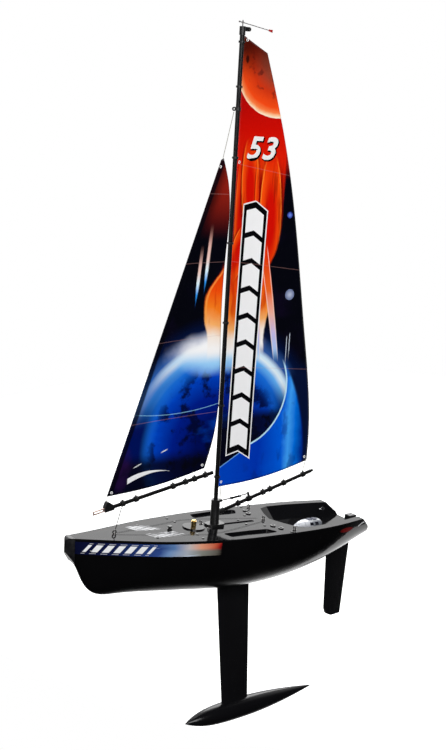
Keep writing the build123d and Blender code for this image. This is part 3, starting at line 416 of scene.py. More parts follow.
def blue_field(p, flow):
    """Round world: a white and pale blue rim that falls through blue to night, with broken cloud."""
    rim = p.distance(42.0, 194.0) + flow * 3
    tone = p.ramp(rim, [
        (30, (0.0, 0.004, 0.09)), (66, (0.0, 0.012, 0.24)), (92, (0.0, 0.050, 0.50)),
        (110, (0.01, 0.16, 0.72)), (121, (0.14, 0.46, 0.92)), (128, (0.80, 0.92, 1.0)),
        (132, (0.62, 0.82, 0.98)), (138, (0.03, 0.10, 0.36)), (154, (0.001, 0.006, 0.04)), (172, NIGHT)])
    shade = p.edge(p.x, 48, 76) * p.edge(p.z, 322, 264) * p.edge(rim, 104, 118) * p.edge(rim, 146, 134)
    tone = p.mix(shade * 0.85, tone, (0.01, 0.14, 0.55))
    land = p.edge(p.noise(0.03, 5.0, roughness=0.62), 0.50, 0.60) * p.edge(rim, 112, 88)
    tone = p.mix(land * 0.9, tone, (0.0008, 0.002, 0.020))
    veil = p.edge(p.noise(0.028, 4.0, (0.5, 1, 1.4)), 0.54, 0.72) * p.edge(rim, 126, 100)
    tone = p.mix(veil * 0.45, tone, (0.0, 0.10, 0.80))
    lee = p.edge(p.z, 272, 226) * p.edge(rim, 98, 116)
    tone = p.mix(lee, tone, (0.0, 0.006, 0.10))
    # broad white glow on top of the world
    dx, dz = (p.x - 46) / 80, (p.z - 316) / 31
    glow = (dx * dx + dz * dz).root() + flow * 0.5
    haze = p.mix(p.edge(p.z, 300, 322), (0.34, 0.66, 0.98), (0.97, 0.97, 0.98))
    tone = p.mix(p.edge(glow, 1.05, 0.35), tone, haze)
    orbit = p.z - 242 - (p.x - 110) * (p.x - 110) * 0.0016
    tone = p.mix(p.edge(orbit.abs(), 0.8, 0.2) * p.edge(p.x, 36, 44) * 0.5, tone, (0.30, 0.70, 1.0))
    return tone


def sail_print(p):
    """Printed picture that crosses both sails: warm light above, a blue world below, night around."""
    flow = p.noise(0.025, 4.0) - 0.5
    cloud = p.edge(p.noise(0.02, 4.0), 0.5, 0.75)
    night = p.mix(cloud * 0.4, NIGHT, (0.010, 0.004, 0.028))
    tone = p.mix(p.edge(p.distance(42.0, 194.0), 185, 150), night, blue_field(p, flow))
    # warm column from the head down to the world's rim; it widens as a bell below the petals
    tuck = ((p.z * -1 + 474) / 68).most(0)
    right = p.edge(p.x - flow * 6 - tuck * tuck * 26, -47, -43).most(p.edge(p.z, 530, 580))
    warm = right * p.edge(p.z, 402, 424) * p.edge(p.x, 48, 38).most(p.edge(p.z, 430, 444))
    half = p.edge(p.z, 434, 386) * 26 + p.edge(p.z, 326, 362) * 5 + 26
    reach = (p.x - 10 + flow * 10).most((p.x - 10 + flow * 10) * -1.35)
    bell = p.edge(reach - half, 1.5, -2.0) * p.edge(p.z, 304, 324) * p.edge(p.z, 442, 424)
    belly = p.ramp(p.z - (p.x - 26).abs() * 0.15 + flow * 22, [
        (316, (0.97, 0.95, 0.94)), (332, (0.96, 0.84, 0.74)), (346, (0.95, 0.44, 0.14)),
        (364, (0.92, 0.20, 0.012)), (392, (0.86, 0.070, 0.003)), (430, (0.62, 0.022, 0.002))])
    tone = p.mix(bell, tone, belly)
    folds = p.edge(p.noise(0.09, 3.0, (1, 1, 0.20)), 0.52, 0.62) * bell * p.edge(p.z, 345, 372)
    tone = p.mix(folds * 0.65, tone, (0.62, 0.025, 0.002))
    edge_light = p.edge((reach - half + 2.5).abs(), 2.4, 0.6) * bell
    tone = p.mix(edge_light * p.edge(p.z, 342, 362) * 0.6, tone, (1.0, 0.36, 0.06))
    tone = p.mix(warm, tone, warm_field(p, flow))
    return tone, flow


def main_print():
    """Mainsail film: the picture, flame tails, a broad blue ribbon low down, and white chevrons."""
    p = Paint("main sail film")
    tone, flow = sail_print(p)
    # two tails run from the flames down to the ribbon, and cool from red to pale blue on the way
    for start, slope, curve, half in ((-22.0, 0.235, 0.0002, 6.5), (-6.0, 0.16, 0.0003, 5.0)):
        fall = (p.z - 436) * -1
        middle = (p.x - start + fall * slope - fall * fall * curve).abs()
        side = middle - half + fall * 0.018
        shown = p.edge(side, 0.6, -0.6) * p.edge(fall, -14, 0) * p.edge(fall, 142, 120)
        cooled = p.ramp(fall, [
            (0, (0.80, 0.030, 0.002)), (46, (0.90, 0.14, 0.02)), (76, (0.90, 0.46, 0.36)),
            (104, (0.55, 0.52, 0.86)), (140, (0.26, 0.62, 0.98))])
        tone = p.mix(shown, tone, cooled)
        rim = p.edge((side + 0.8).abs(), 0.9, 0.2) * shown
        tone = p.mix(rim * 0.7, tone, (1.0, 0.78, 0.66))
    ring = p.distance(5.0, 262.0)
    below = p.edge(p.z - 182 + (p.x + 7) * 0.48, 1.0, -1.0)
    outside = p.edge(ring, 75.6, 76.6) * p.edge(p.x, -6, -12).most(below)
    limit = p.x + 107 - ((p.z - 160) * (p.z - 160)) * 0.0022
    low = p.edge(p.z, 300, 270)
    ribbon_mask = (outside * p.edge(p.x, -6, -12)).most(below) * low * p.edge(limit, -2, 3)
    hole = (1 - outside) * low * p.edge(p.z, 240, 222)
    tone = p.mix(hole * 0.92, tone, NIGHT)
    across = p.ramp(p.x + flow * 22, [
        (-104, (0.0, 0.03, 0.30)), (-92, (0.0, 0.16, 0.75)), (-80, (0.05, 0.36, 0.95)),
        (-68, (0.0, 0.11, 0.74)), (-30, (0.0, 0.035, 0.46)), (32, (0.0, 0.06, 0.56))])
    marks = p.edge(p.noise(0.05, 4.0, (1, 1, 0.6)), 0.52, 0.64) * p.edge(p.x, 12, -30)
    across = p.mix(marks * 0.45, across, (0.002, 0.02, 0.20))
    tone = p.mix(ribbon_mask, tone, across)
    bright = p.edge((ring - 76.6).abs(), 1.8, 0.4) * p.edge(p.x, -4, -14)
    bright = bright * p.edge(p.z, 300, 285) * p.edge(limit, 0, 3)
    tone = p.mix(bright, tone, (0.55, 0.86, 1.0))
    straight = p.edge((p.z - 182 + (p.x + 7) * 0.48).abs(), 1.2, 0.3) * p.edge(p.x, -9, -4)
    tone = p.mix(straight * 0.7, tone, (0.20, 0.50, 0.95))
    leech = p.edge(limit, 3, -3) * low
    tone = p.mix(leech, tone, (0.002, 0.006, 0.035))
    # small moon and two thin rising trails on the night side
    for x, z, radius, fade, middle, rim in (
            (-66.0, 384.0, 7.4, 7.0, (0.45, 0.50, 0.66), (0.16, 0.20, 0.36)),
            (-57.0, 487.0, 4.4, 4.5, (0.16, 0.26, 0.80), (0.02, 0.04, 0.30))):
        away = p.distance(x, z)
        ball = p.mix(p.edge(away, 0, fade), middle, rim)
        tone = p.mix(p.edge(away, radius, radius - 0.6), tone, ball)
    for x, low_z, high_z in ((-66.5, 286, 330), (-71.0, 294, 334)):
        trail = p.edge((p.x - x).abs(), 0.9, 0.3)
        trail = trail * p.edge(p.z, low_z, low_z + 22) * p.edge(p.z, high_z, high_z - 4)
        tone = p.mix(trail * 0.8, tone, (0.62, 0.70, 0.82))
    # column of chevrons: white, then a black edge, then a thin white line
    side = p.x - 3.5 + (p.z - 188) * 0.020
    height = p.z + side.abs() * 0.42 - side * 0.22 - 187.0
    cell = height.wrap(34.7)
    box = (side.abs() - 14.0).most(3.4 - cell).most(height * -1).most(height - 312.0)
    tone = p.mix(p.edge(box, 6.5, 6.0), tone, (0.92, 0.92, 0.93))
    tone = p.mix(p.edge(box, 4.9, 4.4), tone, (0.002, 0.002, 0.003))
    tone = p.mix(p.edge(box, 0.3, -0.2), tone, (0.93, 0.93, 0.94))
    return film_finish(p, tone, [(426, 0.13), (292, 0.10), (545, 0.16)], p.edge(p.x, 30.4, 31.4))


def jib_print():
    """Jib film: the same picture with a dark luff, a maroon head, two light trails and a banner."""
    p = Paint("jib film")
    tone, flow = sail_print(p)
    luff = p.x - 57 - (554 - p.z) * 0.3556
    head = p.edge(p.z, 455, 520)
    maroon = p.mix(p.edge(luff + flow * 8, -22, -4), (0.24, 0.012, 0.006), (0.06, 0.005, 0.004))
    tone = p.mix(p.edge(p.z + (p.x - 41) * 0.5, 424, 432), tone, p.mix(head, NIGHT, maroon))
    for x, low_z, high_z in ((83.0, 372, 452), (71.0, 388, 478)):
        spindle = (p.x - x + (p.z - low_z) * 0.09).abs() + p.edge(p.z, low_z + 34, low_z) * 2.2
        fade = p.edge(p.z, low_z - 2, low_z + 14) * p.edge(p.z, high_z, high_z - 30)
        light = p.ramp(p.z - low_z, [
            (0, (0.0, 0.04, 0.40)), (18, (0.03, 0.34, 0.95)), (32, (0.75, 0.92, 1.0)),
            (46, (0.90, 0.62, 0.55)), (80, (0.55, 0.24, 0.20))])
        tone = p.mix(p.edge(spindle, 3.0, 1.2) * fade, tone, light)
    foot = p.edge(p.z - (p.x - 60) * 0.04, 196, 176)
    tone = p.mix(foot * 0.93, tone, NIGHT)
    violet = p.edge(p.noise(0.03, 3.0), 0.45, 0.7) * p.edge(luff, -40, -10) * p.edge(p.z, 240, 190)
    tone = p.mix(violet * 0.5, tone, (0.03, 0.006, 0.07))
    curve = p.z - 171.5 + (p.x - 138) * (p.x - 138) * 0.0052 + (p.x - 140) * 0.05
    width = p.edge(p.x, 108, 170) * 3.4
    banner = p.edge(curve.abs() - width, 0.3, -0.1) * p.edge(p.x, 109, 111) * p.edge(p.x, 172.5, 171.5)
    tone = p.mix(banner, tone, (0.85, 0.86, 0.87))
    for x, z, half in ((119.0, 196.0, 6.0), (158.0, 182.0, 7.0)):
        slip = (p.z - z + (p.x - x) * 0.35).abs()
        dash = p.edge(slip, 1.0, 0.4) * p.edge((p.x - x).abs(), half, half - 4)
        tone = p.mix(dash, tone, (0.7, 0.72, 0.74))
    edge_dark = p.edge(luff, -9.0, -6.5)
    tone = p.mix(edge_dark * 0.85, tone, NIGHT)
    return film_finish(p, tone, [(512, 0.02), (431, -0.02), (340, -0.05), (240, -0.03)], edge_dark)


def film_finish(p, tone, seams, pocket):
    """Glossy film: faint seams across, a doubled pocket along the luff, and soft waves."""
    seam_lines = None
    for z, slope in seams:
        line = p.edge((p.z - z - p.x * slope).abs(), 0.7, 0.35)
        seam_lines = line if seam_lines is None else seam_lines.most(line)
    tone = p.mix(seam_lines * 0.16, tone, (0.55, 0.28, 0.26))
    waves = p.noise(0.018, 2.0, (1, 1, 0.6)) * 6
    p.bump(waves + seam_lines * 0.5 + pocket * 0.6 + p.noise(0.4, 2.0) * 0.05, 0.35, 0.35)
    return p.finish(tone, p.noise(0.06, 3.0) * 0.10 + 0.16, Specular_IOR_Level=0.3)


def decal_material(name, colour):
    """Thin printed vinyl with slightly uneven ink."""
    p = Paint(name)
    ink = p.noise(0.6, 3.0)
    return p.finish(p.mix(ink, tint(colour, 0.92), colour), ink * 0.1 + 0.2, IOR=1.45)


# ---------------- surfaces
def mesh_piece(name, points, faces, material, closed=True):
    """Object at the origin from arrays of points and faces; a closed one gets outward faces."""
    mesh = bpy.data.meshes.new(name)
    mesh.from_pydata(points.reshape(-1, 3).tolist(), [], [list(face) for face in faces])
    if closed:
        shape = bmesh.new()
        shape.from_mesh(mesh)
        bmesh.ops.recalc_face_normals(shape, faces=shape.faces)
        shape.to_mesh(mesh)
        shape.free()
    mesh.polygons.foreach_set("use_smooth", np.full(len(mesh.polygons), True))
    mesh.materials.append(material)
    mesh.update()
    piece = bpy.data.objects.new(name, mesh)
    bpy.context.scene.collection.objects.link(piece)
    return piece


def grid_faces(rows, columns, start=0, flip=False, close_rows=False):
    """Quads of a grid of points kept row by row; a closed grid joins its last column to its first."""
    span = columns if close_rows else columns - 1
    r, c = np.meshgrid(np.arange(rows - 1), np.arange(span), indexing="ij")
    after = (c + 1) % columns
    here, above = r * columns, (r + 1) * columns
    quads = np.stack([here + c, here + after, above + after, above + c], -1).reshape(-1, 4) + start
    return quads[:, ::-1] if flip else quads


def sheet_mesh(front, back):
    """Points and faces of a closed thin sheet from its two skins, joined round the rim."""
    rows, columns = front.shape[:2]
    count = rows * columns
    index = np.arange(count).reshape(rows, columns)
    rim = np.concatenate([index[0, :-1], index[:-1, -1], index[-1, :0:-1], index[:0:-1, 0]])
    follow = np.roll(rim, -1)
    wall = np.stack([follow, rim, rim + count, follow + count], -1)
    faces = np.concatenate([grid_faces(rows, columns), grid_faces(rows, columns, count, flip=True), wall])
    return np.concatenate([front.reshape(-1, 3), back.reshape(-1, 3)]), faces


def through(at, places, values):
    """Natural cubic spline through values at rising places, read at the given places."""
    places, values = np.asarray(places, float), np.asarray(values, float)
    step = np.diff(places)
    count = len(places)
    matrix, right = np.eye(count), np.zeros(count)
    for i in range(1, count - 1):
        matrix[i, i - 1:i + 2] = step[i - 1], 2 * (step[i - 1] + step[i]), step[i]
        right[i] = 6 * ((values[i + 1] - values[i]) / step[i] - (values[i] - values[i - 1]) / step[i - 1])
    bend = np.linalg.solve(matrix, right)
    i = np.clip(np.searchsorted(places, at) - 1, 0, count - 2)
    h, a, b = step[i], places[i + 1] - at, at - places[i]
    return (bend[i] * a**3 + bend[i + 1] * b**3) / (6 * h) + (values[i] / h - bend[i] * h / 6) * a \
        + (values[i + 1] / h - bend[i + 1] * h / 6) * b


class Sail:
    """A sail's shape: luff and leech lines, a rounded foot and a shallow belly."""

    def __init__(self, luff, leech, foot_round, belly, draft):
        self.luff, self.leech = np.array(luff) * MM, np.array(leech) * MM
        self.foot_round, self.belly, self.draft = foot_round * MM, belly, draft

    def at(self, u, v):
        """Point at u from luff to leech and v from foot to head.

        The point lies on the chord between luff and leech.  The foot drops by a half sine that
        dies away upwards, and the belly is a sine across the chord times a sine up the sail.
        """
        low, high = self.luff
        luff = low + (high - low) * v[..., None]
        z = self.leech[0, 1] + (self.leech[-1, 1] - self.leech[0, 1]) * v
        leech = np.stack([through(z, self.leech[:, 1], self.leech[:, 0]), z], -1)
        chord = luff + (leech - luff) * u[..., None]
        drop = self.foot_round * np.sin(pi * u) * (1 - v) ** 7
        depth = -self.belly * np.sin(pi * u**self.draft) * np.sin(pi * (0.06 + 0.9 * v)) ** 0.7
        return np.stack([chord[..., 0], depth, chord[..., 1] - drop], -1)

    def film(self, thickness, columns, rows):
        """Both skins of the film on an even grid."""
        v, u = np.meshgrid(np.linspace(0, 1, rows), np.linspace(0, 1, columns), indexing="ij")
        middle = self.at(u, v)
        half = np.array([0, thickness / 2, 0])
        return sheet_mesh(middle + half, middle - half)

    def depth_at(self, x, z):
        """Belly at a place given by X and Z, found by walking the sail's own grid."""
        u, v = np.full_like(x, 0.5), (z - self.luff[0, 1]) / (self.luff[1, 1] - self.luff[0, 1])
        for _ in range(8):
            here = self.at(u, np.clip(v, 0, 1))
            along = self.at(u + 0.01, np.clip(v, 0, 1)) - here
            u = u + 0.01 * (x - here[..., 0]) / along[..., 0]
            v = v + (z - here[..., 2]) / (self.luff[1, 1] - self.luff[0, 1])
        return self.at(u, np.clip(v, 0, 1))[..., 1]


RING_AROUND, RING_ACROSS = 28, 12


def torus_points(centre, normal, major, minor):
    """Ring surface: a circle of the minor radius carried round one of the major radius."""
    normal = Vector(normal).normalized()
    side = normal.orthogonal().normalized()
    other = normal.cross(side)
    a, b = np.meshgrid(np.linspace(0, 2 * pi, RING_AROUND, endpoint=False),
                       np.linspace(0, 2 * pi, RING_ACROSS, endpoint=False), indexing="ij")
    out = np.cos(a)[..., None] * np.array(side) + np.sin(a)[..., None] * np.array(other)
    lift = np.sin(b)[..., None] * minor * np.array(normal)
    return np.array(centre) + out * (major + minor * np.cos(b))[..., None] + lift


def torus_faces(start):
    """Quads of a ring surface, closed both ways, facing outwards."""
    a, b = np.meshgrid(np.arange(RING_AROUND), np.arange(RING_ACROSS), indexing="ij")
    row, next_row = a * RING_ACROSS, (a + 1) % RING_AROUND * RING_ACROSS
    next_b = (b + 1) % RING_ACROSS
    quads = np.stack([row + b, next_row + b, next_row + next_b, row + next_b], -1)
    return quads.reshape(-1, 4) + start


def rings(name, places, normal, major, minor, material):
    """Several like rings as one piece."""
    points = np.concatenate([torus_points(c, normal, major, minor).reshape(-1, 3) for c in places])
    size = RING_AROUND * RING_ACROSS
    faces = np.concatenate([torus_faces(i * size) for i in range(len(places))])
    return mesh_piece(name, points, faces, material)


# ---------------- settings
class YachtSettings(bpy.types.PropertyGroup):
    """Sizes and colours that a user would change."""

    hull_colour: bpy.props.FloatVectorProperty(
        name="Hull colour", description="Base colour of the hull moulding", subtype="COLOR",
        default=(0.0035, 0.0035, 0.004), min=0, max=1)
    deck_colour: bpy.props.FloatVectorProperty(
        name="Deck colour", description="Base colour of the deck moulding", subtype="COLOR",
        default=(0.006, 0.006, 0.007), min=0, max=1)
    spar_colour: bpy.props.FloatVectorProperty(
        name="Spar colour", description="Colour of the mast and booms", subtype="COLOR",
        default=(0.006, 0.006, 0.0065), min=0, max=1)
    film_thickness: bpy.props.FloatProperty(
        name="Film thickness", description="Thickness of the sail film", unit="LENGTH", default=0.15 * MM)
    main_belly: bpy.props.FloatProperty(
        name="Main belly", description="Depth of the mainsail's curve", unit="LENGTH", default=3.5 * MM)
    jib_belly: bpy.props.FloatProperty(
        name="Jib belly", description="Depth of the jib's curve", unit="LENGTH", default=2.5 * MM)
    grommet_radius: bpy.props.FloatProperty(
        name="Grommet radius", description="Radius of the sail corner rings", unit="LENGTH", default=1.9 * MM)
    sail_number: bpy.props.StringProperty(
        name="Sail number", description="Digits near the head of the mainsail", default="53")


# outlines and eyelets of the sails as X and Z in millimetres, from the foot up
MAIN_LUFF = [(32.9, 137.0), (32.9, 701.0)]
MAIN_LEECH = [(-115.0, 153.5), (-115.5, 182.0), (-94.0, 336.0), (-70.0, 461.5), (-40.0, 581.0), (-4.0, 683.0)]
MAIN_EYELETS = [(27, 696), (29, 143), (-110.5, 159), (29, 552)]
JIB_LUFF = [(201.0, 149.0), (57.0, 554.0)]
JIB_LEECH = [(57.0, 165.6), (46.0, 203.0), (42.5, 330.0), (42.0, 440.0), (44.0, 528.0), (53.0, 556.0)]
JIB_EYELETS = [(194, 153), (60.5, 170), (57, 546)]
NUMBER_X, NUMBER_Z, NUMBER_SCALE = -4.0, 568.0, 0.0265 / 0.70
ROUND_HATCH_X, ROUND_HATCH_RING = 69, 11.5
POD_RINGS, POD_AROUND = 40, 48


def main_shape(settings):
    """The mainsail's shape."""
    return Sail(MAIN_LUFF, MAIN_LEECH, 5.5, settings.main_belly, 0.8)


def jib_shape(settings):
    """The jib's shape."""
    return Sail(JIB_LUFF, JIB_LEECH, 4.5, settings.jib_belly, 0.85)


def assign(material, *names):
    """Give CAD nodes a finish."""
    for name in names:
        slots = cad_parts[name].data.materials
        slots.clear()
        slots.append(material)


# ---------------- operators
class YachtStep(bpy.types.Operator):
    """Base of the yacht's building steps."""

    bl_options = {"REGISTER", "UNDO"}

    def execute(self, context):
        self.build(context.scene.yacht)
        return {"FINISHED"}


class YACHT_OT_hull(YachtStep):
    """Finish the hull, deck, bumper and everything moulded with them."""

    bl_idname = "yacht.hull"
    bl_label = "Hull and deck"

    def build(self, settings):
        assign(hull_material(settings), "hull_shell")
        assign(deck_material(settings), "deck_moulding")
        assign(rubber_material("bumper rubber"), "bow_bumper")
        assign(satin_plastic("inner plastic", (0.05, 0.05, 0.055), 0.5),
               "keel_trunk", "servo_tray", "battery_box", "rudder_tube", "mast_tube")


class YACHT_OT_foils(YachtStep):
    """Finish the fin, bulb and rudder."""

    bl_idname = "yacht.foils"
    bl_label = "Fin, bulb and rudder"

    def build(self, settings):
        assign(foil_material("foil black", (0.006, 0.006, 0.007)), "keel_fin", "rudder_blade")
        assign(foil_material("bulb black", (0.005, 0.005, 0.006)), "bulb_port_half", "bulb_starboard_half")
        assign(satin_plastic("ballast", (0.16, 0.16, 0.17), 0.6, 0.9, 0.2), "bulb_ballast")


class YACHT_OT_fittings(YachtStep):
    """Finish the small fittings, the metalwork and the gear inside."""

    bl_idname = "yacht.fittings"
    bl_label = "Fittings and gear"

    def build(self, settings):
        black = satin_plastic("fitting black", (0.006, 0.006, 0.0065), 0.34)
        assign(black, "fin_lock_plate", "mast_step", "masthead_cap", "gooseneck", "main_boom_clips",
               "main_boom_end", "vang_post", "jib_boom_clips", "jib_nose_clip", "luff_rings", "forestay_hook",
               "tow_block", "power_switch", "power_button", "sheet_grommets", "tiller_arm", "rudder_horn",
               "sail_servo_arm", "deck_screws")
        assign(gloss_round(settings), "round_hatch")
        case = satin_plastic("servo case", (0.03, 0.03, 0.035), 0.4)
        assign(case, "rudder_servo", "sail_servo", "receiver")
        assign(satin_plastic("cell jacket", (0.10, 0.22, 0.10), 0.25), "battery_cells")
        steel = metal_material("bright steel", (0.74, 0.75, 0.77))
        assign(steel, "bulb_screws", "rudder_post", "stern_hook", "rudder_pushrod", "vang_barrel")
        assign(metal_material("dark wire", (0.16, 0.15, 0.15), 0.3), "deck_eyes", "wind_vane", "vang_rod")
        assign(metal_material("brass", (0.72, 0.50, 0.18), 0.22), "thumb_screw")
        assign(metal_material("copper wire", (0.85, 0.62, 0.54), 0.35), "jib_counterweight")
        assign(decal_material("vane red", (0.42, 0.02, 0.02)), "vane_feather")
        assign(line_material("dark line", (0.006, 0.006, 0.007)), "jib_swivel_line")
        assign(line_material("pale line", (0.62, 0.60, 0.52)), "jib_lines", "main_sail_ties")


def gloss_round(settings):
    """Round hatch cover: the deck's gloss with a turned ring."""
    p, tone, rough = gloss_moulding("hatch gloss", tuple(settings.deck_colour))
    ahead = p.x - ROUND_HATCH_X
    radius = (ahead * ahead + p.y * p.y).root()
    ring = p.edge((radius - ROUND_HATCH_RING).abs(), 0.6, 0.2)
    tone = p.mix(ring * 0.5, tone, (0.05, 0.05, 0.05))
    return p.finish(tone, rough, IOR=1.52, Coat_Weight=0.5, Coat_Roughness=0.03)


class YACHT_OT_spars(YachtStep):
    """Finish the mast and both booms."""

    bl_idname = "yacht.spars"
    bl_label = "Mast and booms"

    def build(self, settings):
        black = spar_material("spar black", tuple(settings.spar_colour))
        assign(black, "mast_lower", "mast_upper", "main_boom", "jib_boom")
        assign(metal_material("joiner alloy", (0.6, 0.6, 0.62), 0.3), "mast_joiner")


class YACHT_OT_main_sail(YachtStep):
    """Mainsail film with its corner rings."""

    bl_idname = "yacht.main_sail"
    bl_label = "Mainsail"

    def build(self, settings):
        shape = main_shape(settings)
        sail = mesh_piece("main_sail_film", *shape.film(settings.film_thickness, 49, 160), main_print())
        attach(sail, "main_rig")
        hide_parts("main_sail")
        rivets = corner_rings("main_sail_grommets", shape, MAIN_EYELETS, settings)
        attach(rivets, "main_rig")


class YACHT_OT_jib(YachtStep):
    """Jib film with its corner rings."""

    bl_idname = "yacht.jib"
    bl_label = "Jib"

    def build(self, settings):
        shape = jib_shape(settings)
        sail = mesh_piece("jib_sail_film", *shape.film(settings.film_thickness, 49, 130), jib_print())
        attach(sail, "jib_rig")
        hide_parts("jib_sail")
        rivets = corner_rings("jib_sail_grommets", shape, JIB_EYELETS, settings)
        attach(rivets, "jib_rig")


def corner_rings(name, shape, places, settings):
    """White eyelets pressed through the film, one at each given place in millimetres."""
    x, z = np.array(places, float).T * MM
    centres = np.stack([x, shape.depth_at(x, z), z], -1)
    radius = settings.grommet_radius
    white = decal_material(f"{name} white", (0.85, 0.85, 0.85))
    return rings(name, centres, (0, 1, 0), radius * 0.72, radius * 0.3, white)


class YACHT_OT_sail_number(YachtStep):
    """Sail number on both faces of the mainsail, with a black shadow behind each digit."""

    bl_idname = "yacht.sail_number"
    bl_label = "Sail number"

    def build(self, settings):
        shape = main_shape(settings)
        white = decal_material("number white", (0.9, 0.9, 0.9))
        black = decal_material("number shadow", (0.003, 0.003, 0.003))
        for side, label in ((1, "port"), (-1, "starboard")):
            for name, material, lift, shift, bold in (
                    ("number", white, 0.26, 0.0, 0.024), ("number_shadow", black, 0.16, 1.4, 0.040)):
                piece = self.digits(
                    f"{name}_{label}", settings, shape, side, lift * MM, shift * MM, bold, material)
                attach(piece, "main_rig")

    def digits(self, name, settings, shape, side, lift, shift, bold, material):
        """Slanted bold digits as a thin closed plate, laid on the sail's own curve."""
        curve = bpy.data.curves.new(name, "FONT")
        curve.body = settings.sail_number
        curve.align_x, curve.align_y = "CENTER", "CENTER"
        curve.shear, curve.offset, curve.extrude = 0.28, bold, 0.02
        curve.size, curve.resolution_u, curve.space_character = 1.0, 6, 1.12
        text = bpy.data.objects.new(name + "_text", curve)
        bpy.context.scene.collection.objects.link(text)
        bpy.context.view_layer.update()
        mesh = bpy.data.meshes.new_from_object(text.evaluated_get(bpy.context.evaluated_depsgraph_get()))
        bpy.data.objects.remove(text)
        flat = np.empty(len(mesh.vertices) * 3)
        mesh.vertices.foreach_get("co", flat)
        flat = flat.reshape(-1, 3)
        x = NUMBER_X * MM - side * flat[:, 0] * NUMBER_SCALE * 1.12 - side * shift
        z = NUMBER_Z * MM + flat[:, 1] * NUMBER_SCALE - shift - side * flat[:, 0] * 0.0005
        y = shape.depth_at(x, z) + side * (settings.film_thickness / 2 + lift + flat[:, 2] * 0.002)
        mesh.vertices.foreach_set("co", np.stack([x, y, z], -1).ravel())
        mesh.materials.clear()
        mesh.materials.append(material)
        mesh.update()
        piece = bpy.data.objects.new(name, mesh)
        bpy.context.scene.collection.objects.link(piece)
        return piece


class YACHT_OT_hatch(YachtStep):
    """Cockpit hatch: a pointed silver pod with dark windows."""

    bl_idname = "yacht.hatch"
    bl_label = "Cockpit hatch"

    def build(self, settings):
        low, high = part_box("cockpit_hatch")
        length = high.x - low.x
        s = np.linspace(0, 1, POD_RINGS)[:, None]
        angle = np.linspace(0, 2 * pi, POD_AROUND, endpoint=False)[None, :]
        # plan half width and height both grow from the nose, as sines of the distance from it
        width = (high.y - low.y) / 2 * np.clip(np.sin(pi / 2 * np.minimum(s * 1.5, 1)) ** 0.85, 0.03, 1)
        base = low.z + (1 - s) * length * FLOOR_SLOPE
        crown = high.z - low.z - length * 0.8 * FLOOR_SLOPE
        tall = crown * np.clip(np.sin(pi / 2 * np.minimum(s * 1.7 + 0.1, 1)), 0.05, 1)
        x = high.x - s * length
        c, q = np.cos(angle), np.sin(angle)
        y = width * np.sign(c) * np.abs(c) ** 0.72
        z = base + tall * np.clip(q, 0, 1) ** 0.62
        points = np.stack([x + 0 * y, y, z], -1)
        ends = np.array([points[0].mean(0), points[-1].mean(0)])
        body = grid_faces(POD_RINGS, POD_AROUND, close_rows=True)
        count, last = POD_RINGS * POD_AROUND, (POD_RINGS - 1) * POD_AROUND
        ring = np.arange(POD_AROUND)
        follow = (ring + 1) % POD_AROUND
        caps = np.concatenate([np.stack([follow, ring, np.full(POD_AROUND, count)], -1),
                               np.stack([last + ring, last + follow, np.full(POD_AROUND, count + 1)], -1)])
        faces = body.tolist() + caps.tolist()
        pod = mesh_piece("hatch_pod", np.concatenate([points.reshape(-1, 3), ends]), faces, hatch_material())
        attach(pod, "hatch_lid")
        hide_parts("cockpit_hatch")
        assign(window_material(), "hatch_windows")


# name, place, size in metres and power in watts of each soft light
LIGHTS = [("key", (0.9, 2.2, 1.5), 1.6, 76.0), ("fill", (2.6, 0.6, 0.5), 1.2, 14.0),
          ("back", (-1.4, -1.6, 1.6), 1.4, 34.0), ("top", (0.2, -0.3, 2.6), 1.4, 26.0)]
FLOOR_CENTRE, FLOOR_RADIUS = (-1.62, -1.16, -0.45), 1.62
CAMERA_PLACE, CAMERA_LENS = (0.9091, 1.1637, 0.6111), 56.5
CAMERA_YAW, CAMERA_PITCH, CAMERA_ROLL = radians(-36.89), radians(-12.60), radians(3.27)


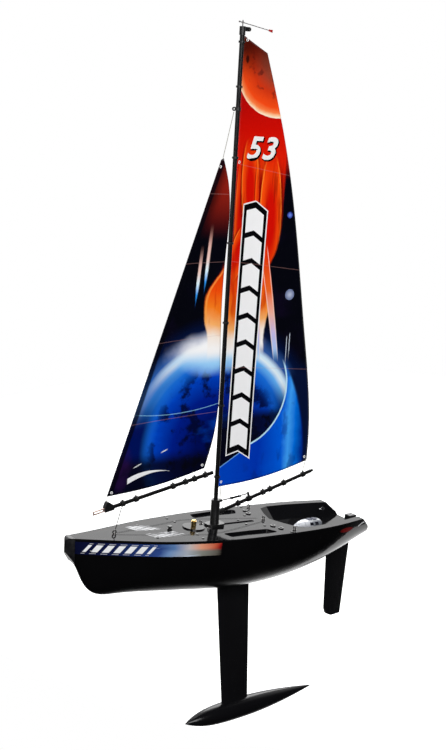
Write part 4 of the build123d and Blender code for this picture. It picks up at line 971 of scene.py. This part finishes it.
class YACHT_OT_stage(YachtStep):
    """Pale floor, soft lights, the room they light and the camera."""

    bl_idname = "yacht.stage"
    bl_label = "Studio"

    def build(self, settings):
        bpy.context.scene.view_settings.view_transform = "Standard"
        self.floor()
        self.room()
        target = Vector((0.02, 0.0, 0.25))
        for name, place, size, power in LIGHTS:
            light = bpy.data.lights.new(name, "AREA")
            light.energy, light.size = power, size
            lamp = bpy.data.objects.new(name, light)
            lamp.location = place
            lamp.rotation_euler = (target - Vector(place)).to_track_quat("-Z", "Y").to_euler()
            bpy.context.scene.collection.objects.link(lamp)
        self.camera()

    def floor(self):
        """Round flat floor well below the bulb and mostly behind the yacht."""
        around, across = 64, 12
        a, r = np.meshgrid(np.linspace(0, 2 * pi, around, endpoint=False),
                           np.linspace(0, FLOOR_RADIUS, across), indexing="ij")
        points = np.stack([r * np.cos(a), r * np.sin(a), 0 * r], -1) + np.array(FLOOR_CENTRE)
        p = Paint("pale floor")
        tone = p.mix(p.noise(0.002, 2.0), (0.90, 0.90, 0.90), (0.93, 0.93, 0.93))
        faces = grid_faces(around, across)
        closing = grid_faces(2, across)
        seam = np.where(closing < across, closing + (around - 1) * across, closing - across)
        floor = mesh_piece("studio_floor", points, np.concatenate([faces, seam]),
                           p.finish(tone, 0.6 + p.noise(0.01) * 0.1, Emission_Color=(1, 1, 1, 1),
                                    Emission_Strength=0.6), closed=False)

    def room(self):
        """White room behind and under the yacht, dark on the side it is seen from, for its reflections."""
        world = bpy.data.worlds.new("studio")
        bpy.context.scene.world = world
        world.use_nodes = True
        nodes, links = world.node_tree.nodes, world.node_tree.links
        nodes.clear()
        out, both, path, white, room, coordinates, toward, ramp = (
            nodes.new("ShaderNode" + kind) for kind in (
                "OutputWorld", "MixShader", "LightPath", "Background", "Background", "TexCoord", "VectorMath",
                "MapRange"))
        white.inputs[0].default_value = (1, 1, 1, 1)
        white.inputs[1].default_value = 1.0
        toward.operation = "DOT_PRODUCT"
        toward.inputs[1].default_value = (-0.60, -0.80, 0.12)
        links.new(coordinates.outputs["Generated"], toward.inputs[0])
        ramp.interpolation_type = "SMOOTHSTEP"
        for name, number in (("From Min", 0.10), ("From Max", 0.62), ("To Min", 0.0), ("To Max", 1.45)):
            ramp.inputs[name].default_value = number
        links.new(toward.outputs["Value"], ramp.inputs["Value"])
        links.new(ramp.outputs["Result"], room.inputs[1])
        links.new(path.outputs["Is Camera Ray"], both.inputs[0])
        links.new(room.outputs[0], both.inputs[1])
        links.new(white.outputs[0], both.inputs[2])
        links.new(both.outputs[0], out.inputs[0])

    def camera(self):
        """Three-quarter view from ahead on the port side, a little above the deck."""
        yaw, pitch, roll = CAMERA_YAW, CAMERA_PITCH, CAMERA_ROLL
        ahead = Vector((sin(yaw) * cos(pitch), -cos(yaw) * cos(pitch), sin(pitch)))
        right = Vector((-cos(yaw), -sin(yaw), 0))
        up = right.cross(ahead)
        right, up = cos(roll) * right + sin(roll) * up, cos(roll) * up - sin(roll) * right
        lens = bpy.data.cameras.new("camera")
        lens.lens, lens.sensor_width, lens.sensor_fit = CAMERA_LENS, 36.0, "AUTO"
        lens.clip_start = 0.05
        camera = bpy.data.objects.new("camera", lens)
        camera.matrix_world = Matrix.Translation(CAMERA_PLACE) @ \
            Matrix((right, up, -ahead)).transposed().to_4x4()
        bpy.context.scene.collection.objects.link(camera)
        bpy.context.scene.camera = camera


STEPS = (YACHT_OT_stage, YACHT_OT_hull, YACHT_OT_foils, YACHT_OT_fittings, YACHT_OT_spars, YACHT_OT_main_sail,
         YACHT_OT_jib, YACHT_OT_sail_number, YACHT_OT_hatch)


class YACHT_PT_panel(bpy.types.Panel):
    """Lists the yacht's settings and building steps."""

    bl_idname = "YACHT_PT_panel"
    bl_label = "Radio Yacht"
    bl_space_type = "VIEW_3D"
    bl_region_type = "UI"
    bl_category = "Yacht"

    def draw(self, context):
        settings = context.scene.yacht
        for name in YachtSettings.__annotations__:
            self.layout.prop(settings, name)
        for step in STEPS:
            self.layout.operator(step.bl_idname)


CLASSES = (YachtSettings, *STEPS, YACHT_PT_panel)


def register():
    """Register the classes and the scene's settings."""
    for cls in CLASSES:
        bpy.utils.register_class(cls)
    bpy.types.Scene.yacht = bpy.props.PointerProperty(type=YachtSettings)


def unregister():
    """Undo register."""
    del bpy.types.Scene.yacht
    for cls in reversed(CLASSES):
        bpy.utils.unregister_class(cls)


def main():
    """Register, then run every step in order."""
    register()
    for step in STEPS:
        group, name = step.bl_idname.split(".")
        getattr(getattr(bpy.ops, group), name)()


if __name__ == "__main__":
    main()
